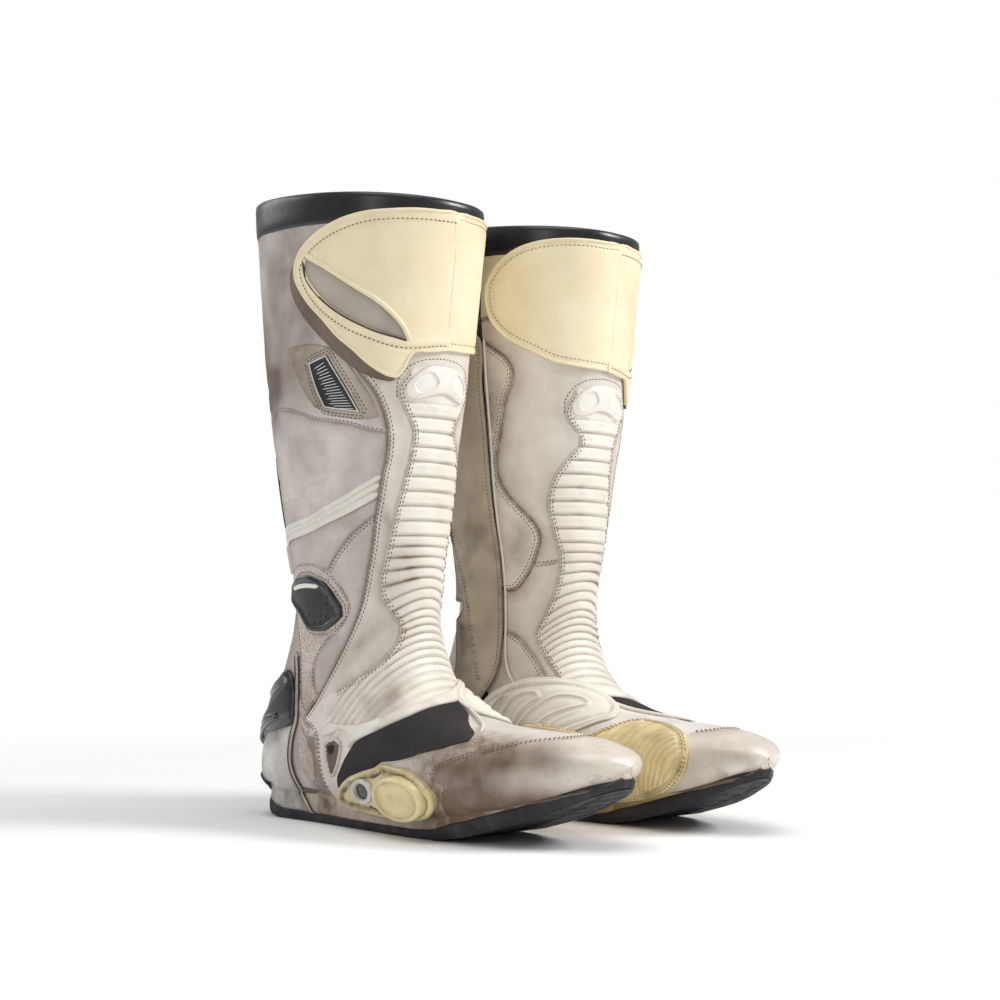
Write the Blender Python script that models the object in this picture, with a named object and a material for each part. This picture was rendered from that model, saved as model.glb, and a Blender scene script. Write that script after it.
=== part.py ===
"""A pair of tall road-riding boots with toe sliders, a zip under a cover flap and a wrap collar.

Each boot is built in its own frame in millimetres: x towards the outer side, f towards the toe,
z up. place() turns that into the shared frame in metres: +Z up, toes towards -Y, the left boot
at +X and the right boot, its mirror image, at -X.

A boot's body is one smooth surface S(v, theta, offset). v counts the stations from toe to rim,
theta goes round a station: 0 is the front or top, +90 the outer side, 180 the back or sole.
Leather panels are blocks of that surface's grid, 0 to 2 mm out from it; the lining is inside it
and the armour, pads and collar lie outside the panels.
"""
import math

import bmesh
import bpy
import numpy as np
from mathutils import Matrix, Vector

# Where each boot stands, mm in the shared frame
BOOT_GAP_X = 148.0
LEFT_AHEAD = 13.0
PAIR_Y = 67.6

# Stations: front point (f, z), back or sole point (f, z), half widths outer and inner,
# roundness of the front and back halves, sideways shift
STATIONS = [
    ((239, 48), (239, 48), 0, 0, 2.0, 2.0, -13),
    ((234, 57), (232, 40), 17, 16, 2.2, 2.6, -12),
    ((221, 63), (221, 34), 29, 27, 2.3, 3.0, -10),
    ((196, 67), (197, 27), 39, 36, 2.4, 3.2, -7),
    ((162, 69), (164, 20), 47, 43, 2.4, 3.4, -4),
    ((128, 72), (128, 14), 51, 48, 2.4, 3.6, -1),
    ((102, 78), (88, 12), 51, 49, 2.3, 3.6, 0),
    ((82, 89), (44, 12), 47, 47, 2.3, 3.4, 0),
    ((67, 107), (0, 12.5), 42, 44, 2.3, 3.2, 0),
    ((60, 130), (-46, 11.5), 39, 41, 2.3, 3.0, 0),
    ((60, 151), (-92, 15), 38, 38, 2.2, 2.9, 0),
    ((63, 172), (-97, 58), 37, 37, 2.2, 2.3, 0),
    ((65, 196), (-73, 106), 39, 38, 2.2, 2.2, 0),
    ((67, 224), (-57, 152), 45, 42, 2.2, 2.2, 0),
    ((70, 256), (-63, 199), 52, 46.5, 2.2, 2.2, 0),
    ((77, 300), (-74, 266), 60, 52, 2.2, 2.2, 0),
    ((83, 352), (-85, 342), 65, 56.5, 2.2, 2.2, 0),
    ((94, 431), (-96, 451), 69, 60.5, 2.2, 2.2, 0),
]
V_LINES = [0, 0.35, 1, 1.9, 2.8, 3.6, 4.4, 5.2, 6, 6.8, 7.6, 8.4, 9.2, 9.7, 10.2, 10.7, 11.3,
           12, 13, 14, 15, 15.8, 16.6, 17]
T_STEP = 12
SEAM = 0.55  # half of the gap between two panels that meet

LINING = (-3.0, -0.4)
PANEL = (0.0, 2.0)
OVERLAY = (3.0, 5.0)
TAPE = (0.0, 0.9)
FLAP = (5.0, 7.0)

SOLE_TOP = 2.7  # the outsole starts this far out from the surface, under the board
GROUND = [(-110, 4.0), (-92, 2.5), (-80, 0.0), (118, 0.0), (140, 3.2), (164, 9.5),
          (197, 18.5), (221, 26.0), (240, 33.0)]

ZIP_THETA = -90.0
ZIP_TOP_V, ZIP_LOW_V = 16.35, 14.2
SLIDER_SIZE = (8.0, 13.0)
PULL_SIZE = (5.4, 20.0)
PIN_R = 1.1
FLAP_HINGE_F = -35.0

COLOURS = {
    "leather": ((0.72, 0.68, 0.64), 0.55, 0.0),
    "cream": ((0.85, 0.77, 0.56), 0.45, 0.0),
    "pale_plastic": ((0.78, 0.74, 0.70), 0.35, 0.0),
    "yellow_plastic": ((0.80, 0.67, 0.42), 0.4, 0.0),
    "rubber": ((0.02, 0.02, 0.022), 0.7, 0.0),
    "black_gloss": ((0.015, 0.015, 0.016), 0.2, 0.0),
    "black_fabric": ((0.03, 0.03, 0.032), 0.8, 0.0),
    "grey_leather": ((0.5, 0.47, 0.44), 0.6, 0.0),
    "lining": ((0.05, 0.05, 0.055), 0.9, 0.0),
    "metal": ((0.3, 0.3, 0.31), 0.35, 1.0),
}


def clear_scene():
    for obj in list(bpy.data.objects):
        bpy.data.objects.remove(obj, do_unlink=True)


def natural_spline(rows):
    """Second derivatives of a natural cubic spline through the rows, one knot per row."""
    n = len(rows)
    a = np.zeros((n, n))
    b = np.zeros_like(rows)
    a[0, 0] = a[-1, -1] = 1.0
    for i in range(1, n - 1):
        a[i, i - 1: i + 2] = (1.0, 4.0, 1.0)
        b[i] = 6.0 * (rows[i + 1] - 2.0 * rows[i] + rows[i - 1])
    return np.linalg.solve(a, b)


ROWS = np.array([(*s[0], *s[1], *s[2:]) for s in STATIONS], float)
CURVE = natural_spline(ROWS)


def station(v):
    i = min(max(int(v), 0), len(ROWS) - 2)
    t = v - i
    a, b, m, k = ROWS[i], ROWS[i + 1], CURVE[i], CURVE[i + 1]
    return (a + t * (b - a - (2 * m + k) / 6.0) + t * t * m / 2.0 + t ** 3 * (k - m) / 6.0)


def base_point(v, theta):
    """A point of the boot's surface: (x, f, z) in mm."""
    ff, fz, bf, bz, lateral, medial, n_front, n_back, shift = station(v)
    c, s = math.cos(math.radians(theta)), math.sin(math.radians(theta))
    n = n_front if c >= 0 else n_back
    cc = math.copysign(abs(c) ** (2.0 / n), c)
    ss = math.copysign(abs(s) ** (2.0 / n), s)
    width = lateral if s >= 0 else medial
    return Vector((shift + width * ss, (ff + bf) / 2 + (ff - bf) / 2 * cc,
                   (fz + bz) / 2 + (fz - bz) / 2 * cc))


def normal(v, theta):
    if v < 0.02:
        return Vector((0, 1, 0))
    dv = base_point(min(v + 0.05, 17.0), theta) - base_point(v - 0.02, theta)
    dt = base_point(v, theta + 2.0) - base_point(v, theta - 2.0)
    return dv.cross(dt).normalized()


def surface(v, theta, offset):
    return base_point(v, theta) + normal(v, theta) * offset


def mesh_object(name, points, faces, finish, boot):
    """One closed piece of one boot. The right boot is the mirror image, so its faces turn round."""
    side = 1 if boot == "left" else -1
    mesh = bpy.data.meshes.new(f"{boot}_{name}")
    mesh.from_pydata([place(boot, p) for p in points], [],
                     [f if side == 1 else tuple(reversed(f)) for f in faces])
    mesh.validate()
    work = bmesh.new()
    work.from_mesh(mesh)
    bmesh.ops.remove_doubles(work, verts=work.verts, dist=1e-6)
    bmesh.ops.recalc_face_normals(work, faces=work.faces)
    work.to_mesh(mesh)
    work.free()
    obj = bpy.data.objects.new(f"{boot}_{name}", mesh)
    mesh.materials.append(material(name, finish))
    BOOTS.objects.link(obj)
    return obj


def place(boot, point):
    """From a boot's own millimetres to the shared frame in metres."""
    x, f, z = point
    if boot == "left":
        at = (BOOT_GAP_X / 2 + x, PAIR_Y - LEFT_AHEAD / 2 - f, z)
    else:
        at = (-BOOT_GAP_X / 2 - x, PAIR_Y + LEFT_AHEAD / 2 - f, z)
    return Vector(at) / 1000


def material(name, finish):
    found = bpy.data.materials.get(name)
    if found:
        return found
    colour, rough, metal = COLOURS[finish]
    found = bpy.data.materials.new(name)
    found.use_nodes = True
    shader = found.node_tree.nodes["Principled BSDF"]
    shader.inputs["Base Color"].default_value = (*colour, 1)
    shader.inputs["Roughness"].default_value = rough
    shader.inputs["Metallic"].default_value = metal
    return found


def cell_position(i, j, di, dj, offset, cache):
    """A point inside grid cell (i, j), on the cell's flat facets rather than the true surface."""
    def corner(a, b):
        key = (a, b % (360 // T_STEP), offset)
        if key not in cache:
            cache[key] = surface(V_LINES[a], -180 + T_STEP * b, offset)
        return cache[key]
    low = corner(i, j).lerp(corner(i, j + 1), dj)
    high = corner(i + 1, j).lerp(corner(i + 1, j + 1), dj)
    return low.lerp(high, di)


def panel(name, blocks, finish, boot, layer=PANEL, seam=SEAM):
    """A leather panel: the union of grid blocks (v0, v1, theta0, theta1), drawn in at its edges."""
    cells, cache, turn = set(), {}, 360 // T_STEP
    for v0, v1, t0, t1 in blocks:
        for i in range(V_LINES.index(v0), V_LINES.index(v1)):
            for j in range(round((t0 + 180) / T_STEP), round((t1 + 180) / T_STEP)):
                cells.add((i, j % turn))
    nodes = sorted({(i + a, (j + b) % turn) for i, j in cells for a in (0, 1) for b in (0, 1)})
    number, points = {}, []
    for i, j in nodes:
        around = [(a, b) for a in (-1, 0) for b in (-1, 0) if (i + a, (j + b) % turn) in cells]
        pull = Vector((sum(2 * a + 1 for a, b in around), sum(2 * b + 1 for a, b in around)))
        a, b = around[0]
        di, dj = (1.0 if a == -1 else 0.0), (1.0 if b == -1 else 0.0)
        if V_LINES[i] > 0 and len(around) < 4:
            for a, b in around:
                if (2 * a + 1) * pull[0] >= 0 and (2 * b + 1) * pull[1] >= 0:
                    break
            di, dj = (1.0 if a == -1 else 0.0), (1.0 if b == -1 else 0.0)
            here = surface(V_LINES[i], -180 + T_STEP * j, 0)
            up, over = i + 2 * a + 1, j + 2 * b + 1
            along_v = (surface(V_LINES[up], -180 + T_STEP * j, 0) - here).length
            along_t = (surface(V_LINES[i], -180 + T_STEP * over, 0) - here).length
            if pull[0]:
                di += (2 * a + 1) * min(seam / along_v, 0.45)
            if pull[1]:
                dj += (2 * b + 1) * min(seam / along_t, 0.45)
        for level, offset in enumerate(layer):
            if V_LINES[i] == 0 and j != nodes[0][1]:
                number[i, j, level] = number[*nodes[0], level]
                continue
            number[i, j, level] = len(points)
            points.append(cell_position(i + a, (j + b) % turn, di, dj, offset, cache))
    faces = []
    for i, j in sorted(cells):
        k = (j + 1) % turn
        ring = [(i, j), (i, k), (i + 1, k), (i + 1, j)]
        for level in (0, 1):
            corners = [number[a, b, level] for a, b in ring]
            flat = [corners[0], corners[1], corners[2]], [corners[0], corners[2], corners[3]]
            faces += [tuple(f if level else reversed(f)) for f in flat]
        for (di, dj), (p, q) in {(-1, 0): (0, 1), (0, 1): (1, 2), (1, 0): (2, 3),
                                 (0, -1): (3, 0)}.items():
            if (i + di, (j + dj) % turn) not in cells:
                a, b = ring[p], ring[q]
                faces.append((number[*a, 0], number[*b, 0], number[*b, 1]))
                faces.append((number[*a, 0], number[*b, 1], number[*a, 1]))
    return mesh_object(name, points, [f for f in faces if len(set(f)) == 3], finish, boot)


def patch(name, rows, finish, boot, layer=OVERLAY, across=4, by="v"):
    """A freely shaped piece on the surface. Each row is (v, theta0, theta1), or with by="theta"
    (theta, v0, v1), and the rows are joined in order."""
    count, points, faces = across + 1, [], []
    for offset in layer:
        for at, low, high in rows:
            for k in range(count):
                other = low + (high - low) * k / across
                points.append(surface(*((at, other) if by == "v" else (other, at)), offset))
    size = len(rows) * count
    for r in range(len(rows) - 1):
        for k in range(across):
            a, b = r * count + k, (r + 1) * count + k
            for level in (0, size):
                faces += [(level + a, level + a + 1, level + b + 1),
                          (level + a, level + b + 1, level + b)]
    rim = [k for k in range(count)]
    rim += [r * count + across for r in range(1, len(rows))]
    rim += [(len(rows) - 1) * count + k for k in range(across - 1, -1, -1)]
    rim += [r * count for r in range(len(rows) - 2, 0, -1)]
    for a, b in zip(rim, rim[1:] + rim[:1]):
        faces += [(a, b, size + b), (a, size + b, size + a)]
    return mesh_object(name, points, faces, finish, boot)


def theta_where(v, f):
    """The inner-side angle, behind the middle, at which station v crosses the given f."""
    low, high = -178.0, -90.0
    for _ in range(30):
        middle = (low + high) / 2
        low, high = (middle, high) if base_point(v, middle).y < f else (low, middle)
    return (low + high) / 2


def ground(f):
    return float(np.interp(f, [g[0] for g in GROUND], [g[1] for g in GROUND]))


def outsole(boot):
    """Rubber sole: its top follows the boot's underside, its base is flat and then turns up."""
    lines = [0.3, 1, 1.9, 2.8, 3.6, 4.4, 5.2, 6, 6.8, 7.6, 8.4, 9.2, 9.7, 9.95]
    angles = [140, 148, 160, 172, 180, 188, 200, 212, 220]
    points, faces = [], []
    for v in lines:
        for t in angles:
            points.append(surface(v, t, SOLE_TOP))
    for v in lines:
        for t in angles:
            top = surface(v, t, SOLE_TOP)
            points.append(Vector((top.x * 1.04, top.y, ground(top.y))))
    across, size = len(angles), len(points) // 2
    for r in range(len(lines) - 1):
        for k in range(across - 1):
            a, b = r * across + k, (r + 1) * across + k
            for level in (0, size):
                faces += [(level + a, level + a + 1, level + b + 1),
                          (level + a, level + b + 1, level + b)]
    rim = list(range(across)) + [r * across + across - 1 for r in range(1, len(lines))]
    rim += [(len(lines) - 1) * across + k for k in range(across - 2, -1, -1)]
    rim += [r * across for r in range(len(lines) - 2, 0, -1)]
    for a, b in zip(rim, rim[1:] + rim[:1]):
        faces += [(a, b, size + b), (a, size + b, size + a)]
    return mesh_object("outsole", points, faces, "rubber", boot)


def zip_path():
    """Top and bottom of the slider's straight run, its direction, and the outward normal."""
    top, low = (surface(v, ZIP_THETA, 0) for v in (ZIP_TOP_V, ZIP_LOW_V))
    middle = normal((ZIP_TOP_V + ZIP_LOW_V) / 2, ZIP_THETA)
    down = (low - top).normalized()
    out = (middle - down * middle.dot(down)).normalized()
    return top, low, down, out


def plate(outline, low, high, origin, across, down, out):
    """Points and faces of a flat plate: outline in (across, down) mm, from low to high along out."""
    points = [origin + across * a + down * d + out * level
              for level in (low, high) for a, d in outline]
    n = len(outline)
    faces = [tuple(range(n)), tuple(range(2 * n - 1, n - 1, -1))]
    faces += [(k, (k + 1) % n, n + (k + 1) % n, n + k) for k in range(n)]
    return points, faces


def rounded(width, start, end, steps=4, radius=1.6):
    corners = [(-width / 2, start, -1, -1), (width / 2, start, 1, -1),
               (width / 2, end, 1, 1), (-width / 2, end, -1, 1)]
    outline = []
    for turn, (a, d, sa, sd) in enumerate(corners):
        for k in range(steps + 1):
            angle = math.radians(180 + 90 * turn + 90 * k / steps)
            outline.append((a - sa * radius + radius * math.cos(angle),
                            d - sd * radius + radius * math.sin(angle)))
    return outline


def circle(radius, centre, steps=20):
    return [(radius * math.cos(2 * math.pi * k / steps),
             centre + radius * math.sin(2 * math.pi * k / steps)) for k in range(steps)]


def boolean(obj, operation, points, faces, boot):
    helper = mesh_object(f"{obj.name}_{operation.lower()}", points, faces, "metal", boot)
    BOOTS.objects.unlink(helper)
    CUTTERS.objects.link(helper)
    helper.hide_render = True
    helper.display_type = "WIRE"
    step = obj.modifiers.new(operation.title(), "BOOLEAN")
    step.operation, step.solver, step.object = operation, "EXACT", helper
    return helper


def zip_parts(boot):
    top, _, down, out = zip_path()
    across = down.cross(out)
    frame = (top, across, down, out)
    width, length = SLIDER_SIZE
    pin_at = length + 2.6
    slider = mesh_object("zip_slider", *plate(rounded(width, 0, length), 2.2, 4.0, *frame),
                         "metal", boot)
    tongue = plate(rounded(4.6, length - 3, pin_at + 2.2, radius=2.0), 2.2, 2.7, *frame)
    boolean(slider, "UNION", *tongue, boot)
    pin = plate(circle(PIN_R, pin_at), 2.4, 4.5, *frame)
    helper = mesh_object("zip_slider_pin", *pin, "metal", boot)
    BOOTS.objects.unlink(helper)
    CUTTERS.objects.link(helper)
    helper.hide_render, helper.display_type = True, "WIRE"
    step = slider.modifiers.new("Pin", "BOOLEAN")
    step.operation, step.solver, step.object = "UNION", "EXACT", helper
    start = pin_at - 2.1
    pull = mesh_object("zip_pull", *plate(rounded(PULL_SIZE[0], start, start + PULL_SIZE[1],
                                                  radius=1.9), 3.05, 4.2, *frame), "metal", boot)
    boolean(pull, "DIFFERENCE", *plate(circle(PIN_R + 0.4, pin_at), 1.0, 5.0, *frame), boot)
    return top, pin_at


def toe_disc(boot):
    """The screwed-on wear disc of the toe slider."""
    centre, out = surface(6.3, 116, 8.5), normal(6.3, 116)
    along = (base_point(5.6, 116) - base_point(7.0, 116))
    along = (along - out * along.dot(out)).normalized()
    across = along.cross(out)
    outline = [(19 * math.cos(t), 15 * math.sin(t))
               for t in (2 * math.pi * k / 28 for k in range(28))]
    points, faces = plate(outline, 0.0, 3.2, centre, across * 0.9, along * 1.0, out)
    return mesh_object("toe_slider_disc", points, faces, "yellow_plastic", boot)


def set_origin(obj, boot, point):
    """Moves an object's origin onto its joint's axis without moving its shape."""
    at = place(boot, point)
    obj.data.transform(Matrix.Translation(-at))
    obj.location = at


def shade(obj):
    for face in obj.data.polygons:
        face.use_smooth = True
    bevel_angle = math.radians(32)
    obj.data.set_sharp_from_angle(angle=bevel_angle)


def build(boot):
    outsole(boot)
    panel("insole_board", [(0.35, 9.2, 132, 228)], "grey_leather", boot)
    panel("lining", [(0, 17, -180, 180)], "lining", boot, LINING)
    panel("toe_cap", [(0, 3.6, -132, 132), (3.6, 4.4, -132, -48), (3.6, 4.4, 48, 132)],
          "leather", boot)
    panel("vamp", [(3.6, 4.4, -48, 48), (4.4, 7.6, -132, 132)], "leather", boot)
    panel("quarter_outer", [(7.6, 9.2, 36, 132), (9.2, 10.7, 36, 108), (10.7, 12, 36, 156)],
          "leather", boot)
    panel("quarter_inner", [(7.6, 9.2, -132, -36), (9.2, 9.7, -108, -36)], "leather", boot)
    panel("shin_panel", [(7.6, 16.6, -36, 36)], "leather", boot)
    panel("calf_outer", [(12, 16.6, 36, 156)], "grey_leather", boot)
    panel("calf_inner", [(9.7, 16.6, -84, -36)], "leather", boot)
    panel("calf_rear", [(10.7, 16.6, 156, 264), (9.7, 10.7, 252, 264)], "grey_leather", boot)
    panel("heel_cup", [(9.2, 10.7, 108, 252)], "pale_plastic", boot)
    panel("zip_tape", [(9.7, 17, -96, -84)], "black_fabric", boot, TAPE)
    panel("rim_cuff", [(16.6, 17, -84, 264)], "black_gloss", boot)

    patch("heel_guard", [(10.35, 103, 244), (10.5, 97, 245), (10.7, 97, 244), (10.9, 98, 240),
                         (11.15, 104, 236), (11.4, 115, 230)],
          "black_gloss", boot, (3.4, 5.8), across=14)
    patch("shin_plate", [(14.68, -14, 14), (14.85, -25, 25), (15.05, -22, 22), (15.3, -9, 9)],
          "pale_plastic", boot, across=6)
    patch("badge", [(14.7, 56, 63), (14.95, 62, 78), (15.25, 70, 84), (15.5, 77, 88)],
          "black_gloss", boot, across=3)
    patch("ankle_plate", [(11.0, 69, 78), (11.4, 68, 90), (12.0, 78, 102), (12.6, 92, 116),
                          (13.0, 108, 126)], "black_gloss", boot, (3.3, 7.0))
    patch("toe_slider_base", [(5.15, 98, 122), (5.6, 91, 133), (6.4, 89, 135), (7.2, 96, 133),
                              (7.75, 108, 126)], "yellow_plastic", boot, (3.0, 7.6), across=6)
    toe_disc(boot)
    patch("instep_band", [(-8, 6.52, 7.1), (8, 6.52, 7.1), (26, 6.6, 7.15), (42, 6.8, 7.4),
                          (58, 7.05, 7.7), (74, 7.65, 8.35), (92, 8.4, 8.95)],
          "pale_plastic", boot, (3.3, 5.0), across=2, by="theta")
    patch("instep_panel", [(-12, 5.8, 6.36), (6, 5.3, 6.38), (24, 4.9, 6.42), (42, 4.8, 6.58),
                           (60, 5.1, 6.8), (76, 5.75, 7.35), (87, 6.3, 7.85)],
          "black_fabric", boot, (3.0, 4.4), across=5, by="theta")
    patch("ankle_pad", [(-94, 8.85, 9.45), (-86, 8.1, 9.45), (-74, 7.1, 9.25), (-60, 6.35, 8.75),
                        (-46, 5.95, 8.3), (-32, 5.95, 7.7), (-19, 6.3, 7.0)],
          "cream", boot, (3.0, 7.0), across=6, by="theta")
    patch("shift_pad", [(3.3, -92, -42), (3.8, -116, -32), (4.4, -124, -28), (5.0, -124, -34),
                        (5.55, -124, -48), (6.0, -118, -64)],
          "yellow_plastic", boot, (3.0, 6.0), across=7)

    rows = [(9.8, -94, -76), (10.5, -96, -70)]
    rows += [(v, theta_where(v, FLAP_HINGE_F), free) for v, free in
             ((11.3, -74), (12.2, -80), (13, -84), (14, -85), (15, -84.5), (15.6, -84))]
    flap = patch("zip_flap", rows, "leather", boot, FLAP, across=4)
    patch("collar_band", [(-79, 16.3, 16.5), (-70, 16.1, 16.7), (-57, 15.88, 16.8),
                          (-44, 15.7, 16.86), (-30, 15.56, 16.9), (-15, 15.44, 16.9),
                          (0, 15.4, 16.9)], "cream", boot, across=4, by="theta")
    collar = patch("collar_flap", [(2, 15.4, 16.9), (16, 15.42, 16.9), (26, 15.3, 16.9),
                                   (36, 15.08, 16.88), (48, 15.16, 16.85), (62, 15.42, 16.8),
                                   (76, 15.72, 16.72), (88, 16.0, 16.6), (96, 16.28, 16.44)],
                   "cream", boot, across=4, by="theta")
    inlay = patch("collar_inlay", [(26, 15.5, 15.6), (36, 15.6, 15.95), (50, 15.72, 16.14),
                                   (64, 15.9, 16.32), (78, 16.12, 16.44), (87, 16.3, 16.44)],
                  "grey_leather", boot, (5.4, 6.6), across=3, by="theta")
    for piece in (collar, inlay):
        set_origin(piece, boot, surface(16.1, 1.0, 4.0))
    hinge = [surface(v, theta_where(v, FLAP_HINGE_F), 6.0) for v in (12.0, 15.4)]
    set_origin(flap, boot, (hinge[0] + hinge[1]) / 2)
    top, pin_at = zip_parts(boot)
    _, _, down, out = zip_path()
    set_origin(bpy.data.objects[f"{boot}_zip_pull"], boot, top + down * pin_at + out * 3.6)


clear_scene()
BOOTS = bpy.data.collections.new("riding_boots")
CUTTERS = bpy.data.collections.new("cutters")
for group in (BOOTS, CUTTERS):
    bpy.context.scene.collection.children.link(group)
CUTTERS.hide_render = True
for side_name in ("left", "right"):
    build(side_name)
for part in BOOTS.objects:
    shade(part)
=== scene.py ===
"""Riding boots: the leather skins, pads, plates, stitching and soles of the pair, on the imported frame.

Shapes are worked out for one boot in millimetres, as (v, theta) on its outer surface: v runs from the
toe tip, 0, through the ankle, about 10, to the rim, 17, and theta is 0 at the front, 90 on the outer
side and 180 at the sole or rear. The second boot is the first one mirrored.
"""

import itertools
import math

import bpy
import numpy as np
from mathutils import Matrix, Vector
from mathutils.geometry import delaunay_2d_cdt


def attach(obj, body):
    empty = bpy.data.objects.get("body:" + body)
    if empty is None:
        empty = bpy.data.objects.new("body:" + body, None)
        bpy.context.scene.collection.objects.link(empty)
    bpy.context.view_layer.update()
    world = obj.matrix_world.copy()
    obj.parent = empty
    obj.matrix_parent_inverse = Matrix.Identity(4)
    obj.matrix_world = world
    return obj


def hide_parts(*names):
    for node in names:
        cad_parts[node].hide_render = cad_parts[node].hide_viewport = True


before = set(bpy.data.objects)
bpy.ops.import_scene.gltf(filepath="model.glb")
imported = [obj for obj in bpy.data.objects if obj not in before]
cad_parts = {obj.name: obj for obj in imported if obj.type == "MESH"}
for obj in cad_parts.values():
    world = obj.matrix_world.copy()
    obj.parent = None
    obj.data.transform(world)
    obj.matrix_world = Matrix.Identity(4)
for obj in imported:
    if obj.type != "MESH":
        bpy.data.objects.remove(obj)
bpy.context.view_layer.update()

# ---------------------------------------------------------------- the boot's outer surface
# Each station: front (f, z), back (f, z), half widths outer and inner, roundness front and back, shift.
STATIONS = np.array([
    (239, 48, 239, 48, 0, 0, 2.0, 2.0, -13), (234, 57, 232, 40, 17, 16, 2.2, 2.6, -12),
    (221, 63, 221, 34, 29, 27, 2.3, 3.0, -10), (196, 67, 197, 27, 39, 36, 2.4, 3.2, -7),
    (162, 69, 164, 20, 47, 43, 2.4, 3.4, -4), (128, 72, 128, 14, 51, 48, 2.4, 3.6, -1),
    (102, 78, 88, 12, 51, 49, 2.3, 3.6, 0), (82, 89, 44, 12, 47, 47, 2.3, 3.4, 0),
    (67, 107, 0, 12.5, 42, 44, 2.3, 3.2, 0), (60, 130, -46, 11.5, 39, 41, 2.3, 3.0, 0),
    (60, 151, -92, 15, 38, 38, 2.2, 2.9, 0), (63, 172, -97, 58, 37, 37, 2.2, 2.3, 0),
    (65, 196, -73, 106, 39, 38, 2.2, 2.2, 0), (67, 224, -57, 152, 45, 42, 2.2, 2.2, 0),
    (70, 256, -63, 199, 52, 46.5, 2.2, 2.2, 0), (77, 300, -74, 266, 60, 52, 2.2, 2.2, 0),
    (83, 352, -85, 342, 65, 56.5, 2.2, 2.2, 0), (94, 431, -96, 451, 69, 60.5, 2.2, 2.2, 0)], float)
SIDES = {"right": (-1, -74.0, 74.1), "left": (1, 74.0, 61.1)}
SKIN = 2.0  # leather outer face above the surface
TIP, RIM = .02, 17  # the v of the toe's tip, just off the pole, and of the mouth


def bend_terms(rows):
    """Second differences of a natural cubic spline through the rows."""
    n = len(rows)
    a = np.eye(n)
    b = np.zeros_like(rows)
    for i in range(1, n - 1):
        a[i, i - 1:i + 2] = (1, 4, 1)
        b[i] = 6 * (rows[i + 1] - 2 * rows[i] + rows[i - 1])
    return np.linalg.solve(a, b)


BENDS = bend_terms(STATIONS)


def base(v, th):
    """Points (x, f, z) of the surface itself, in millimetres."""
    v, th = np.broadcast_arrays(np.asarray(v, float), np.asarray(th, float))
    i = np.clip(v.astype(int), 0, len(STATIONS) - 2)
    t = (v - i)[..., None]
    a, b, m, k = STATIONS[i], STATIONS[i + 1], BENDS[i], BENDS[i + 1]
    s = a + t * (b - a - (2 * m + k) / 6) + t * t * m / 2 + t ** 3 * (k - m) / 6
    c, sn = np.cos(np.radians(th)), np.sin(np.radians(th))
    n = np.where(c >= 0, s[..., 6], s[..., 7])
    cc = np.sign(c) * np.abs(c) ** (2 / n)
    ss = np.sign(sn) * np.abs(sn) ** (2 / n)
    w = np.where(sn >= 0, s[..., 4], s[..., 5])
    return np.stack([s[..., 8] + w * ss, (s[..., 0] + s[..., 2]) / 2 + (s[..., 0] - s[..., 2]) / 2 * cc,
                     (s[..., 1] + s[..., 3]) / 2 + (s[..., 1] - s[..., 3]) / 2 * cc], -1)


def unit(a):
    return a / np.maximum(np.linalg.norm(a, axis=-1, keepdims=True), 1e-12)


def normals(v, th):
    v, th = np.broadcast_arrays(np.asarray(v, float), np.asarray(th, float))
    dv = base(np.minimum(v + .05, RIM), th) - base(np.maximum(v - .02, 0), th)
    dt = base(v, th + 2) - base(v, th - 2)
    n = unit(np.cross(dv, dt))
    n[v < TIP] = (0, 1, 0)
    return n


def surf(v, th, off=0.0):
    off = np.broadcast_to(np.asarray(off, float), np.broadcast(v, th).shape)
    return base(v, th) + normals(v, th) * off[..., None]


# ---------------------------------------------------------------- noise, lines and regions
PRIMES, MIXER = (374761393, 668265263, 2147483647), 1274126177


def noise(p, size, seed=0):
    """Smooth value noise from -1 to 1 at points p, with cells of that size."""
    q = np.asarray(p, float) / size + seed * 17.13
    i = np.floor(q).astype(np.int64)
    f = q - i
    f = f * f * (3 - 2 * f)
    total = np.zeros(q.shape[:-1])
    for corner in itertools.product((0, 1), repeat=3):
        h = seed * MIXER + sum((i[..., k] + corner[k]) * PRIMES[k] for k in range(3))
        h = (h ^ (h >> 13)) * MIXER
        h = (h ^ (h >> 16)) & 0xFFFFFF
        w = [f[..., k] if corner[k] else 1 - f[..., k] for k in range(3)]
        total += w[0] * w[1] * w[2] * (h / 0xFFFFFF * 2 - 1)
    return total


def cloudy(p, size, seed=0, octaves=3):
    return sum(noise(p, size / 2 ** k, seed + k * 7) / 2 ** k for k in range(octaves)) / 1.6


def ramp(x, a, b):
    """0 up to a, 1 from b on, and smooth between."""
    t = np.clip((x - a) / (b - a), 0, 1)
    return t * t * (3 - 2 * t)


def bell(x, at, width):
    return np.exp(-((x - at) / width) ** 2)


def on(line):
    """The points of a (v, theta) line."""
    return base(line[:, 0], line[:, 1])


def travel(p):
    """How far along a polyline each of its points is."""
    return np.concatenate([[0], np.cumsum(np.linalg.norm(np.diff(p, axis=0), axis=1))])


TURNED = [0, 3, 2, 1]  # a quad's corners the other way round


def grid_quads(n, m, rows_join=False, columns_join=False):
    """The quads of n rows of m points, with the last row or column joined to the first if asked."""
    i, j = np.meshgrid(np.arange(n if rows_join else n - 1), np.arange(m if columns_join else m - 1),
                       indexing="ij")
    k, l = (i + 1) % n, (j + 1) % m
    return np.stack([i * m + j, k * m + j, k * m + l, i * m + l], -1).reshape(-1, 4)


def rim_of(faces):
    """The edges that only one face has, each in its face's direction."""
    size = faces.shape[1]
    ends = np.concatenate([faces[:, [k, (k + 1) % size]] for k in range(size)])
    _, first, count = np.unique(np.sort(ends, 1), axis=0, return_index=True, return_counts=True)
    return ends[first[count == 1]]


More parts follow.
